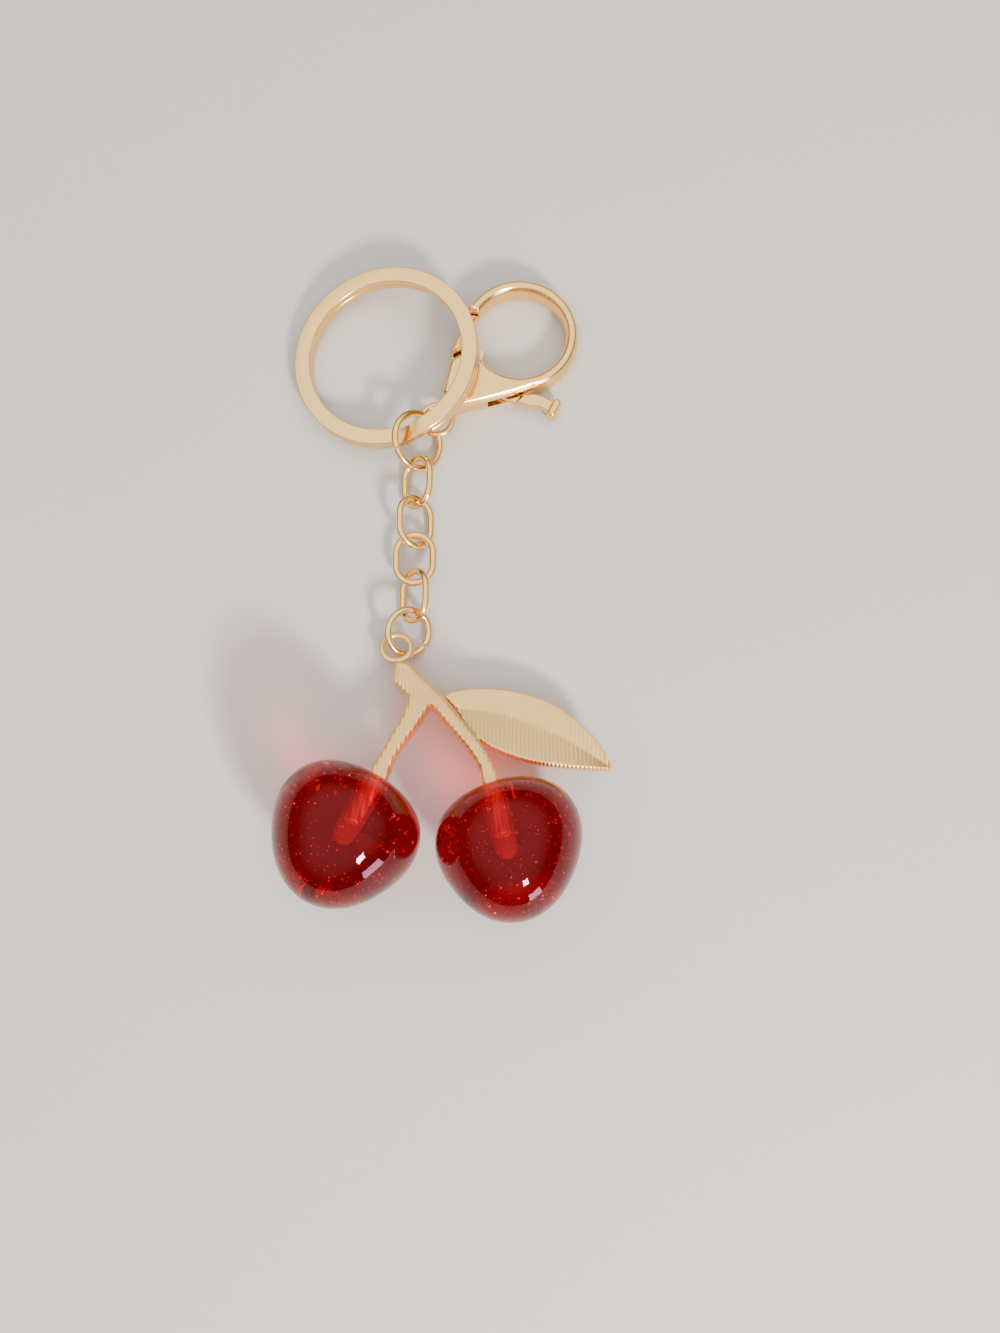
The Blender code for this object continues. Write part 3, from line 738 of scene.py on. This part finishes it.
@dataclass(frozen=True)
class MilkyAdhesive:
    """Cured adhesive with fine bubbles: it scatters light as milk glass does."""

    name: str = "milky_adhesive"
    colour: str = "#ffc4d8"
    shade: str = "#f0a0b8"
    cover: float = 0.2

    def material(self) -> bpy.types.Material:
        """The adhesive as a material."""
        material, tree, output = new_material(self.name)
        place_on = add_node(tree, "ShaderNodeTexCoord")
        cloud = add_node(tree, "ShaderNodeTexNoise",
                         {"Vector": place_on.outputs["Object"], "Scale": per_metre(1.4),
                          "Detail": 3.0})
        colour = add_node(tree, "ShaderNodeMix",
                          {0: cloud.outputs[0], 6: linear(self.shade), 7: linear(self.colour)},
                          data_type="RGBA")
        shader = add_node(tree, "ShaderNodeBsdfPrincipled",
                          {"Base Color": colour.outputs[2], "Roughness": 0.5,
                           "Alpha": self.cover})
        tree.links.new(shader.outputs[0], output.inputs["Surface"])
        return material


@dataclass(frozen=True)
class GlitterFoil:
    """Aluminised film cut into flakes, in a few reds that change from flake to flake."""

    name: str = "red_glitter_foil"
    colour: str = "#ff8078"
    other: str = "#ffd0b8"

    def material(self) -> bpy.types.Material:
        """The foil as a material."""
        material, tree, output = new_material(self.name)
        place_on = add_node(tree, "ShaderNodeTexCoord")
        cells = add_node(tree, "ShaderNodeTexNoise",
                         {"Vector": place_on.outputs["Object"], "Scale": per_metre(1.0),
                          "Detail": 0.0})
        colour = add_node(tree, "ShaderNodeMix",
                          {0: cells.outputs[0], 6: linear(self.colour), 7: linear(self.other)},
                          data_type="RGBA")
        shader = add_node(tree, "ShaderNodeBsdfPrincipled",
                          {"Base Color": colour.outputs[2], "Metallic": 0.5, "Roughness": 0.3})
        tree.links.new(shader.outputs[0], output.inputs["Surface"])
        return material


class Finish(Enum):
    """The finishes on the charm."""

    # bright plate on drawn brass wire and strip: crisp, pale gold reflections
    POLISHED_GOLD = PlatedMetal("pale_gold_plate_polished", "#f9cc7e", (0.13, 0.22), 0.5, 0.001)
    # the same plate on a tumbled zinc casting: its reflections are a little soft and uneven
    TUMBLED_GOLD = PlatedMetal("pale_gold_plate_tumbled", "#f9cc7e", (0.17, 0.28), 0.35, 0.002)
    # plate over a ridged, unpolished casting: a soft glow in place of reflections
    SATIN_GOLD = PlatedMetal("pale_gold_plate_satin", "#facf84", (0.36, 0.46), 0.12, 0.004)
    # bare drawn wire: grey, with a dull shine
    SPRING_STEEL = PlatedMetal("drawn_spring_steel", "#c9c9cc", (0.2, 0.35), 0.2, 0.001)
    RESIN = ClearResin()
    ADHESIVE = MilkyAdhesive()
    GLITTER = GlitterFoil()

    def made(self) -> bpy.types.Material:
        """The finish's material, made once."""
        found = bpy.data.materials.get(self.value.name)
        return found or self.value.material()


# ---------------------------------------------------------------- split ring


@dataclass
class SplitRing:
    """Flat strip wound twice, with a ramp where it climbs from turn to turn."""

    outer: float = 30.0
    inner: float = 25.0
    strip: float = 1.15  # its thickness
    pitch: float = 1.25  # from turn to turn
    ramp: float = 24.0  # degrees that the climb takes
    ramp_at: float = -59.0
    tilt: float = 10.8
    edge: float = 0.2
    at: Vector = field(default_factory=lambda: Vector((RING_X, RING_Y, 0.0)))

    def section(self) -> Outline:
        """The strip's cross-section, as radius and height, with rounded corners."""
        e = self.edge
        low, high = e, self.strip - e
        corners = ((self.outer / 2 - e, low, -90), (self.outer / 2 - e, high, 0),
                   (self.inner / 2 + e, high, 90), (self.inner / 2 + e, low, 180))
        out: Outline = []
        for r, z, turn in corners:
            out += arc((r, z), e, turn, turn + 90, 22.5)
        return out

    def mesh(self) -> bmesh.types.BMesh:
        """The wound strip, in its own frame."""
        turns = 720 - self.ramp
        count = round(turns / 1.5)
        rings = []
        for i in range(count + 1):
            along = turns * i / count
            climb = min(1.0, max(0.0, (along - 360 + self.ramp) / self.ramp))
            low = self.pitch * (1 - cos(pi * climb)) / 2
            angle = radians(self.ramp_at + along)
            rings.append([(r * cos(angle), r * sin(angle), low + z) for r, z in self.section()])
        return skin(rings)

    def build(self) -> None:
        """Makes the ring and hands it over."""
        lift = Vector((0, 0, self.outer / 2 * sin(radians(self.tilt))))
        frame = place(self.at + lift, Euler((0.0, -radians(self.tilt), 0.0)))
        ring = finished(draft("ring", [self.mesh()]), "split_ring_band",
                        Finish.POLISHED_GOLD.made(), frame, STRIP_EDGES)
        deliver(ring, "key_ring", "gold_polished", "key_ring")


# ---------------------------------------------------------------- trigger clasp


@dataclass
class TriggerClasp:
    """Cast trigger clasp, in its own frame: X from the eye to the hook, Y to the gate, Z up."""

    at: Vector = field(default_factory=lambda: Vector((RING_X + 7.87, RING_Y - 9.81, 0.0)))
    heading: float = 46.8
    thick: float = 4.2
    eye_height: float = 2.2
    eye_radius: float = 2.45
    eye_wire: float = 0.5
    hook: tuple[float, float] = (19.27, 0.0)
    hook_inner: float = 7.35
    hook_outer: float = 9.5
    pivot: Vector = field(default_factory=lambda: Vector((8.6, 1.4)))
    knuckle: float = 3.7
    gate_gap: float = 0.3
    gate_length: float = 10.5
    gate_opens: float = 20.0
    pin: float = 0.65
    play: float = 0.08
    slot: tuple[float, float] = (1.15, 3.05)  # heights from here on, low and high
    lever_plate: tuple[float, float] = (1.3, 2.4)
    arm: tuple[float, float] = (1.3, 2.9)
    thumb: tuple[float, float] = (0.8, 3.6)
    gate: tuple[float, float] = (0.35, 3.85)
    hub: float = 2.3
    hub_room: float = 2.7  # the slot round it
    arm_half: float = 0.8
    arm_reach: float = 9.6
    arm_room: tuple[float, float] = (1.05, 10.5)  # the slot's half width and reach along the arm
    tongue: tuple[float, float, float] = (5.2, 12.0, 78.0)  # radius and two bearings
    tongue_room: tuple[float, float, float] = (6.0, -36.0, 104.0)
    coil: float = 0.95
    spring_wire: float = 0.12

    def frame(self) -> Matrix:
        """The clasp's place."""
        return place(self.at, Euler((0.0, 0.0, radians(self.heading))))

    def lever_frame(self) -> Matrix:
        """The lever's place: the clasp's frame moved to the pivot."""
        return self.frame() @ Matrix.Translation(self.pivot.to_3d())

    def from_pivot(self, outline: Sequence[Point]) -> Outline:
        """An outline as the lever's frame sees it."""
        return [(p[0] - self.pivot.x, p[1] - self.pivot.y) for p in outline]

    def hole(self) -> float:
        """Radius of the holes that the pin goes through."""
        return self.pin + self.play

    def body_outline(self) -> Outline:
        """Body and hook in one outline, counter-clockwise from the eye."""
        tip_out = circles_meet(self.hook, self.hook_outer, self.pivot, self.gate_length)
        tip_in = circles_meet(self.hook, self.hook_inner, self.pivot, self.gate_length)
        heel = circles_meet(self.hook, self.hook_inner, self.pivot, self.knuckle)
        trigger_side = smooth([(3.4, -1.5), (6.5, -3.6), (10.5, -6.0), (13.9, -7.8)], 5)
        gate_side = smooth([(3.4, 2.2), (5.2, 3.4), (8.2, 5.1)], 5)
        outside = arc(self.hook, self.hook_outer, -122.0, bearing(self.hook, tip_out))
        tip = arc(self.pivot, self.gate_length, bearing(self.pivot, tip_out),
                  bearing(self.pivot, tip_in))
        inside = arc(self.hook, self.hook_inner, bearing(self.hook, tip_in),
                     bearing(self.hook, heel) - 360.0)
        knuckle = arc(self.pivot, self.knuckle, bearing(self.pivot, heel),
                      bearing(self.pivot, (8.2, 5.1)))
        return trigger_side + outside + tip + inside + knuckle + list(reversed(gate_side))

    def ray(self, distance: float, aside: float) -> tuple[float, float]:
        """A point along the trigger's arm from the pivot, and off to its hook side."""
        way = (Vector((11.3, -6.7)) - self.pivot).normalized()
        return tuple(self.pivot + way * distance + Vector((-way.y, way.x)) * aside)

    def slot_cutters(self) -> list[bmesh.types.BMesh]:
        """The slot that the lever rocks in, and the pin's hole."""
        room = arc(self.pivot, self.hub_room, 0, 352, 8)
        fan = [tuple(self.pivot), *arc(self.pivot, *self.tongue_room, 7)]
        swing = Matrix.Rotation(-radians(self.gate_opens), 2)
        aside, far = self.arm_room
        back = [self.pivot + swing @ (Vector(self.ray(d, -aside)) - self.pivot)
                for d in (0.0, far)]
        reach = [tuple(p) for p in back] + [self.ray(far, aside), self.ray(0.0, aside)]
        cutters = [prism(outline, *self.slot) for outline in (room, fan, reach)]
        cutters.append(round_bar(self.pivot, [(z, self.hole()) for z in (-1.0, self.thick + 1.0)]))
        return cutters

    def neck(self) -> bmesh.types.BMesh:
        """A taper from the thin eye to the full body."""
        rings = []
        for x, wide, high in ((2.25, 0.9, 0.42), (3.4, 1.9, 1.1), (4.6, 2.5, 1.75)):
            share = (x - 2.25) / 2.35
            middle = self.eye_height + (self.thick / 2 - self.eye_height) * share
            section = [(wide * cos(t), high * sin(t)) for t in
                       (2 * pi * k / 32 for k in range(32))]
            rings.append([(x, 0.35 * share + y, middle + z) for y, z in section])
        return skin(rings)

    def build_body(self) -> None:
        """Makes the body with its eye and hook, and its rivet pin."""
        plate = rounded_plate(self.body_outline(), 0.0, self.thick, 1.0, 1.75, 8)
        eye = torus(self.eye_radius, self.eye_wire, self.eye_height)
        body = draft("body", [plate, self.neck(), eye])
        remesh(body, VOXEL, 4)
        cut(body, self.slot_cutters())
        body = finished(body, "trigger_clasp_body", Finish.TUMBLED_GOLD.made(), self.frame(),
                        CUT_EDGES)
        deliver(body, "clasp", "gold_polished", "clasp_body")
        top = self.thick - 0.05
        rivet = round_bar((0, 0), [(0.05, self.pin - 0.12), (0.17, self.pin),
                                   (top - 0.15, self.pin), (top - 0.04, self.pin - 0.08),
                                   (top, self.pin - 0.25)])
        pin = finished(draft("pin", [rivet]), "clasp_rivet", Finish.POLISHED_GOLD.made(),
                       self.lever_frame(), WIRE_ENDS)
        deliver(pin, "clasp", "gold_polished", "clasp_pivot_pin")

    def gate_outline(self) -> Outline:
        """The gate, from the knuckle along the outer side to the hook's tip and back."""
        end = self.gate_length - 0.15
        near = self.knuckle + self.gate_gap
        outer = self.hook_outer - 0.05
        tip_out = circles_meet(self.hook, outer, self.pivot, end)
        tip_in = circles_meet(self.hook, self.hook_inner, self.pivot, end)
        heel = circles_meet(self.hook, self.hook_inner, self.pivot, near)
        side = smooth([(9.3, 5.95), (11.2, 6.85), (13.6, 7.6)], 4)
        back = arc(self.hook, outer, 126.0, bearing(self.hook, tip_out))
        inside = arc(self.hook, self.hook_inner, bearing(self.hook, tip_in),
                     bearing(self.hook, heel) - 7.0)
        knuckle = arc(self.pivot, near, bearing(self.pivot, heel) + 12.0, 78.0)
        return self.from_pivot(list(reversed(side + back + inside + knuckle)))

    def lever_plate_outline(self) -> Outline:
        """Hub, the tongue under the gate and the trigger's arm, about the pivot."""
        far, half = self.arm_reach, self.arm_half
        arm = self.from_pivot([self.ray(d, a) for d, a in ((far, -half), (far, half), (2.1, half))])
        return [*arm, *arc((0, 0), self.hub, -38.0, -12.0), *arc((0, 0), *self.tongue),
                *arc((0, 0), self.hub, 100.0, 265.0)]

    def arm_outline(self) -> Outline:
        """The arm outside the body: it swells and bends outwards to the thumb piece."""
        hook_side = smooth([(12.25, -7.3), (13.9, -8.9), (14.75, -11.0), (14.8, -12.3)], 5)
        eye_side = smooth([(13.1, -12.4), (12.55, -10.6), (11.3, -8.6), (10.7, -7.3)], 5)
        return self.from_pivot(list(reversed(hook_side + eye_side)))

    def thumb_outline(self) -> Outline:
        """A short bar across the end of the arm."""
        across, out, middle = Vector((0.96, 0.28)), Vector((0.28, -0.96)), Vector((13.95, -12.5))
        round_end = arc((0.95, 0.0), 0.72, 90.0, -90.0, 12.0)
        corners = [middle + across * x + out * y
                   for x, y in round_end + [(-x, -y) for x, y in round_end]]
        return self.from_pivot(corners)

    def build_lever(self) -> None:
        """Makes the gate, hub, arm and thumb piece as one casting."""
        lever = draft("lever", [
            prism(self.lever_plate_outline(), *self.lever_plate),
            rounded_plate(self.gate_outline(), *self.gate, 0.7, 1.5),
            rounded_plate(self.arm_outline(), *self.arm, 0.35),
            rounded_plate(self.thumb_outline(), *self.thumb, 0.5, 0.9)])
        remesh(lever, LEVER_VOXEL, 4)
        cut(lever, [round_bar((0, 0), [(z, self.hole()) for z in (0.0, self.thick)])])
        lever = finished(lever, "clasp_trigger_lever", Finish.TUMBLED_GOLD.made(),
                         self.lever_frame(), CUT_EDGES)
        deliver(lever, "lever", "gold_polished", "clasp_lever")

    def build_spring(self) -> None:
        """Makes the coil round the pin with its two straight legs."""
        base = self.lever_plate[1] + 0.06 + self.spring_wire
        arm_end = Vector(self.ray(4.2, 0.0)) - self.pivot
        start = bearing((0, 0), arm_end) + degrees(acos(self.coil / arm_end.length))
        around = arc((0, 0), self.coil, start, start + 450.0, 8.0)
        rise = 0.3 / (len(around) - 1)
        coil = [(x, y, base + rise * i) for i, (x, y) in enumerate(around)]
        turn = radians(start + 180.0)
        leg_end = Vector(coil[-1]) + Vector((cos(turn), sin(turn), 0.0)) * 2.0
        path = [(arm_end.x, arm_end.y, base), *coil, tuple(leg_end)]
        spring = wire(path, self.spring_wire, False, Finish.SPRING_STEEL.made())
        spring = finished(spring, "lever_spring", Finish.SPRING_STEEL.made(),
                          self.lever_frame(), WIRE_ENDS)
        deliver(spring, "lever", "spring_steel", "clasp_spring")

    def build(self) -> None:
        """Makes the whole clasp."""
        self.build_body()
        self.build_lever()
        self.build_spring()


# ---------------------------------------------------------------- rings and chain


def wire(path: Sequence[Point], radius: float, closed: bool,
         material: bpy.types.Material) -> bpy.types.Object:
    """A draft of round wire along a path.

    Args:
        path: Points on the wire's middle, in millimetres.
        radius: The wire's radius.
        closed: True if its ends meet.
        material: Its finish.

    Returns:
        A curve that sweeps the wire.
    """
    curve = bpy.data.curves.new("wire", "CURVE")
    curve.dimensions = "3D"
    spline = curve.splines.new("POLY")
    spline.points.add(len(path) - 1)
    for point, at in zip(spline.points, path):
        point.co = (*at, 1.0)
    spline.use_cyclic_u = closed
    obj = add_object("wire", curve)
    grow(obj, wire_tree(material), Wire_radius=radius)
    return obj


@dataclass
class CutRing:
    """A ring of round wire whose two ends meet or nearly meet."""

    name: str
    node: str
    body: str
    radius: float  # to the middle of the wire
    wire: float
    pose: Pose
    cut_at: float
    opening: float  # between the two ends, along the ring

    def build(self) -> None:
        """Makes the ring, with its ends a little apart."""
        half = degrees(self.opening / self.radius) / 2
        path = [(x, y, 0.0) for x, y in
                arc((0, 0), self.radius, self.cut_at + half, self.cut_at + 360 - half, 3.0)]
        gold = Finish.POLISHED_GOLD.made()
        ring = finished(wire(path, self.wire, False, gold), self.name, gold,
                        posed(self.pose), WIRE_ENDS)
        deliver(ring, self.body, "gold_polished", self.node)


@dataclass
class Chain:
    """Four oval links of round wire, each hanging in the one before."""

    half: float = 3.85  # both to the middle of the wire
    side: float = 2.9
    wire: float = 0.565
    poses: tuple[Pose, ...] = (
        (-13.02, 29.06, 2.59, 44.0, 0.0), (-13.23, 22.58, 2.40, -38.0, 0.0),
        (-13.29, 16.57, 2.42, 5.7, 0.0), (-13.24, 10.61, 2.76, 48.5, 0.0))

    def build(self) -> None:
        """Makes the links."""
        straight = self.half - self.side
        top = [(x, y + straight) for x, y in arc((0, 0), self.side, 0, 180, 4.0)]
        path = [(x, y, 0.0) for x, y in top + [(-x, -y) for x, y in top]]
        gold = Finish.POLISHED_GOLD.made()
        for number, pose in enumerate(self.poses, 1):
            link = finished(wire(path, self.wire, True, gold), f"oval_link_{number}", gold,
                            posed(pose), WIRE_ENDS)
            deliver(link, f"link_{number}", "gold_polished", f"chain_link_{number}")


# ---------------------------------------------------------------- cherries


@dataclass
class Cherry:
    """One resin cherry, turned about its bore, with one shoulder fuller than the other."""

    side: str
    at: tuple[float, float, float]  # its middle, in the casting's frame
    heading: float
    lean: float  # how much fuller the one shoulder is
    size: float
    seed: int
    radii: tuple[float, ...] = (10.24, 0.09, -0.38, -0.65, -0.10)  # a cosine series, pole to pole
    adhesive_top: float = 0.5
    adhesive_deep: float = 9.6
    flakes_per_mm2: float = 0.42
    flake: float = 0.125
    flakes_from: float = 0.02  # depth under the skin, as a share of the radius
    flakes_to: float = 0.45

    def axis(self) -> Matrix:
        """The cherry's frame in the casting's: Z along its bore, out at the stalk."""
        turn = Euler((-pi / 2, 0.0, 0.0)).to_matrix().to_4x4()
        return Matrix.Translation(self.at) @ Matrix.Rotation(radians(self.heading), 4, "Z") @ turn

    def top(self) -> float:
        """Height of the stalk's entry above the cherry's middle."""
        return sum(self.radii) * self.size

    def radius(self, polar: float, around: float, scale: float = 1.0) -> float:
        """The distance of the skin from the cherry's middle.

        Args:
            polar: The angle from the stalk.
            around: The angle round the bore.
            scale: A factor on the cherry's size.

        Returns:
            The distance.
        """
        series = sum(share * cos(k * polar) for k, share in enumerate(self.radii))
        shoulder = self.lean * sin(polar) * (1 + cos(polar)) * cos(around)
        return self.size * scale * series - shoulder

    def mesh(self, sides: int = 112, rows: int = 72, scale: float = 1.0) -> bmesh.types.BMesh:
        """The cherry's skin, closed at both poles.

        Args:
            sides: How many faces go round it.
            rows: How many go from pole to pole.
            scale: A factor on its size.

        Returns:
            The mesh, in the cherry's own frame.
        """
        mesh = bmesh.new()
        loops = []
        for i in range(1, rows):
            polar = pi * i / rows
            loop = []
            for j in range(sides):
                around = 2 * pi * j / sides
                r = self.radius(polar, around, scale)
                loop.append(mesh.verts.new((r * sin(polar) * cos(around),
                                            r * sin(polar) * sin(around), r * cos(polar))))
            loops.append(loop)
        for one, two in zip(loops, loops[1:]):
            for j in range(sides):
                k = (j + 1) % sides
                mesh.faces.new((one[j], two[j], two[k], one[k]))
        top = mesh.verts.new((0, 0, self.radius(0.0, 0.0, scale)))
        bottom = mesh.verts.new((0, 0, -self.radius(pi, 0.0, scale)))
        for j in range(sides):
            k = (j + 1) % sides
            mesh.faces.new((top, loops[0][j], loops[0][k]))
            mesh.faces.new((bottom, loops[-1][k], loops[-1][j]))
        return mesh

    def build(self, casting_frame: Matrix) -> None:
        """Makes the resin body, the adhesive round the peg, and the glitter in it.

        Args:
            casting_frame: The place of the casting that it hangs on.
        """
        frame = casting_frame @ self.axis()
        body = finished(draft("cherry", [self.mesh()]), f"resin_cherry_{self.side}",
                        Finish.RESIN.made(), frame)
        deliver(body, "charm", "red_resin", f"cherry_{self.side}")
        top = self.top()
        floor = top - self.adhesive_deep
        stations = [(floor, 0.3), (floor + 0.25, 0.75), (floor + 0.9, 1.1), (floor + 3.0, 1.25),
                    (top - 3.0, 1.3), (top - 1.0, 1.4), (top - self.adhesive_top, 1.2)]
        column = draft("column", [round_bar((0, 0), stations)])
        column = finished(column, f"milky_adhesive_{self.side}", Finish.ADHESIVE.made(), frame)
        deliver(column, "charm", "clear_adhesive", f"glue_{self.side}")
        flakes = draft("flakes", [self.mesh(28, 18)])
        grow(flakes, flake_tree(Finish.GLITTER.made()), Density=self.flakes_per_mm2,
             Flake_radius=self.flake, Shallowest=self.flakes_from, Deepest=self.flakes_to,
             Seed=self.seed)
        flakes = finished(flakes, f"glitter_flakes_{self.side}", Finish.GLITTER.made(), frame,
                          FLAKE_EDGES)
        deliver(flakes, "charm", "red_resin")


# ---------------------------------------------------------------- stalk casting


@dataclass
class StalkCasting:
    """Branch, two stalks and a leaf in one casting, ridged all over, with a loop at its end."""

    at: tuple[float, float, float] = (-15.86, 2.40, 2.57)
    slope: float = 16.13
    roll: float = 1.57
    loop: float = 2.2
    loop_wire: float = 0.5
    half: float = 1.3
    edge: float = 0.7
    leaf: tuple[float, float] = (-1.0, 0.55)  # its lower and upper face
    valley: float = 0.45  # how far the midrib is sunk
    peg: float = 0.85
    peg_length: float = 7.0
    seat: float = 1.012  # a cherry's size where it is cut out of the stalk's foot
    ridge_pitch: float = 0.6
    ridge_depth: float = 0.115
    cherries: tuple[Cherry, Cherry] = (
        Cherry("left", (-6.30, -29.95, 0.0), -25.0, 0.15, 1.0, 3),
        Cherry("right", (16.95, -31.75, 0.0), 12.0, -0.45, 0.985, 8))

    def frame(self) -> Matrix:
        """The casting's place."""
        return posed((*self.at, -self.roll, -self.slope))

    @staticmethod
    def branch_outline() -> Outline:
        """Cut branch and its two stalks, counter-clockwise from the branch's cut end."""
        left_outer = smooth([(2.1, -8.3), (1.35, -11.4), (-0.75, -15.8), (-3.4, -21.3)])
        left_inner = smooth([(-0.65, -22.6), (0.9, -17.7), (3.6, -13.4), (5.45, -10.0)])
        right_inner = smooth([(5.85, -10.2), (8.4, -13.4), (11.0, -16.6), (12.9, -19.8),
                              (13.5, -23.3)])
        right_outer = smooth([(16.2, -22.6), (14.85, -19.0), (12.8, -15.4), (10.4, -12.3),
                              (7.4, -8.3)])
        cut_end = [(-0.1, -2.6), (-0.2, -6.1)]
        return cut_end + left_outer + left_inner + right_inner + right_outer + [(1.9, -2.7)]

    def leaf_mesh(self) -> bmesh.types.BMesh:
        """The leaf: strips from its lower edge over the sunken midrib to its upper edge."""
        upper = smooth([(7.6, -8.2), (8.6, -7.4), (11.7, -6.8), (16.3, -6.85), (20.7, -7.8),
                        (24.5, -9.6), (28.2, -12.7), (30.7, -15.9), (32.2, -19.15)])
        lower = smooth([(32.15, -19.5), (30.0, -19.5), (25.5, -19.3), (20.5, -18.6),
                        (16.8, -17.4), (14.0, -16.0), (11.6, -14.0)])
        midrib = smooth([(9.4, -10.0), (15.5, -10.8), (20.6, -12.6), (24.4, -14.3),
                         (28.1, -16.5), (32.18, -19.32)])
        edges = [resample(curve, 90) for curve in (list(reversed(lower)), midrib, upper)]
        low, high = self.leaf
        shares = (0.0, 0.02, 0.06, 0.2, 0.4, 0.6, 0.8, 0.94, 1.0)
        rims = {0.0: 0.45, 0.02: 0.16}
        rings = []
        for low_point, rib, high_point in zip(*edges):
            tops = []
            bottoms = []
            across = [(low_point.lerp(rib, s), s) for s in shares]
            across += [(high_point.lerp(rib, s), s) for s in reversed(shares[:-1])]
            for point, share in across:
                dip = self.valley * share
                rim = rims.get(share, 0.0)
                tops.append((point.x, point.y, high - dip - rim))
                bottoms.append((point.x, point.y, low - dip + rim))
            rings.append(tops + list(reversed(bottoms)))
        return skin(rings)

    def build(self) -> None:
        """Makes the casting and hangs both cherries on it."""
        plate = draft("branch", [rounded_plate(self.branch_outline(), -self.half, self.half,
                                               self.edge)])
        seats = []
        pegs = []
        for cherry in self.cherries:
            seat = cherry.mesh(60, 40, self.seat)
            seat.transform(cherry.axis())
            seats.append(seat)
            top = cherry.top()
            peg = round_bar((0, 0), [(top - self.peg_length, self.peg), (top + 1.6, self.peg)])
            peg.transform(cherry.axis())
            pegs.append(peg)
        cut(plate, seats)
        branch = bmesh.new()
        branch.from_mesh(plate.data)
        bpy.data.objects.remove(plate, do_unlink=True)
        casting = draft("casting", [branch, self.leaf_mesh(),
                                    torus(self.loop, self.loop_wire), *pegs])
        remesh(casting, VOXEL, 3)
        satin = Finish.SATIN_GOLD.made()
        grow(casting, ridge_tree(satin), Pitch=self.ridge_pitch, Depth=self.ridge_depth)
        casting = finished(casting, "ridged_stalk_and_leaf", satin, self.frame())
        deliver(casting, "charm", "gold_satin", "stalk_casting")
        for cherry in self.cherries:
            cherry.build(self.frame())


# ---------------------------------------------------------------- studio


@dataclass(frozen=True)
class Softbox:
    """A square area light that looks at a point over the table."""

    name: str
    at: tuple[float, float, float]  # metres
    side: float
    power: float
    colour: str

    def build(self) -> None:
        """Hangs the light."""
        lamp = bpy.data.lights.new(self.name, "AREA")
        lamp.shape = "SQUARE"
        lamp.size = self.side
        lamp.energy = self.power
        lamp.color = linear(self.colour)[:3]
        obj = add_object(self.name, lamp)
        obj.location = self.at
        obj.rotation_euler = (-Vector(self.at)).to_track_quat("-Z", "Y").to_euler()


@dataclass
class Studio:
    """Pale floor, soft light and the camera; its places are in metres."""

    floor_colour: str = "#c0bcb8"
    floor_half: float = 1.5
    floor_roughness: float = 0.65
    lights: tuple[Softbox, ...] = (
        Softbox("key_softbox", (0.27, -0.5, 0.36), 0.09, 8.0, "#fff8ee"),
        Softbox("window_softbox", (0.55, -0.8, 0.06), 0.3, 7.0, "#e6e4ff"))
    world_colour: str = "#e6e4e2"
    horizon: float = 0.14  # the sky's strength low down and overhead
    zenith: float = 2.6
    climb: tuple[float, float] = (0.2, 0.8)  # the heights between which it rises
    camera_at: tuple[float, float, float] = (0.008342, -0.04443, 0.16912)
    camera_tilt: float = 10.5
    lens: float = 30.0
    sensor: float = 36.0
    nearest: float = 0.005

    def lay_floor(self) -> None:
        """Lays the floor, which is no part of the charm."""
        half = self.floor_half
        data = bpy.data.meshes.new("floor")
        corners = [(-half, -half, 0), (half, -half, 0), (half, half, 0), (-half, half, 0)]
        data.from_pydata(corners, [], [(0, 1, 2, 3)])
        floor = add_object("floor", data)
        material, tree, output = new_material("matt_table_top")
        shader = add_node(tree, "ShaderNodeBsdfPrincipled",
                          {"Base Color": linear(self.floor_colour),
                           "Roughness": self.floor_roughness})
        tree.links.new(shader.outputs[0], output.inputs["Surface"])
        data.materials.append(material)

    def light_sky(self) -> None:
        """Lights everything softly from above."""
        world = bpy.data.worlds.new("studio")
        world.use_nodes = True
        tree = world.node_tree
        backdrop = tree.nodes["Background"]
        backdrop.inputs["Color"].default_value = linear(self.world_colour)
        where = add_node(tree, "ShaderNodeTexCoord")
        axes = add_node(tree, "ShaderNodeSeparateXYZ", {0: where.outputs["Generated"]})
        low, high = self.climb
        height = add_node(tree, "ShaderNodeMapRange",
                          {"Value": axes.outputs["Z"], "From Min": low, "From Max": high,
                           "To Min": self.horizon, "To Max": self.zenith},
                          interpolation_type="SMOOTHSTEP")
        tree.links.new(height.outputs[0], backdrop.inputs["Strength"])
        bpy.context.scene.world = world

    def set_camera(self) -> None:
        """Sets the camera over the charm, looking down and a little forwards."""
        camera = bpy.data.cameras.new("camera")
        camera.lens = self.lens
        camera.sensor_width = self.sensor
        camera.clip_start = self.nearest
        obj = add_object("camera", camera)
        obj.location = self.camera_at
        obj.rotation_euler = (radians(self.camera_tilt), 0.0, 0.0)
        bpy.context.scene.camera = obj

    def build(self) -> None:
        """Sets everything up."""
        self.lay_floor()
        for light in self.lights:
            light.build()
        self.light_sky()
        self.set_camera()
        LOG.info("studio ready")


def main() -> None:
    """Builds the charm and its studio round the CAD frame."""
    logging.basicConfig(level=logging.INFO, format="%(message)s")
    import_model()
    SplitRing().build()
    TriggerClasp().build()
    CutRing("chain_jump_ring", "top_jump_ring", "top_ring", 4.35, 0.58,
            (-12.97, 35.51, 3.54, -41.2, 8.2), 203.0, 0.16).build()
    Chain().build()
    CutRing("charm_ring_open", "charm_jump_ring", "charm_ring", 3.47, 0.56,
            (-14.03, 4.89, 2.58, -30.9, 16.5), -41.0, 0.7).build()
    StalkCasting().build()
    Studio().build()
    bpy.context.scene.cycles.transmission_bounces = RESIN_BOUNCES
    bpy.context.scene.cycles.max_bounces = ALL_BOUNCES
    bpy.context.scene.cycles.transparent_max_bounces = CUT_OUT_BOUNCES


if __name__ == "__main__":
    main()
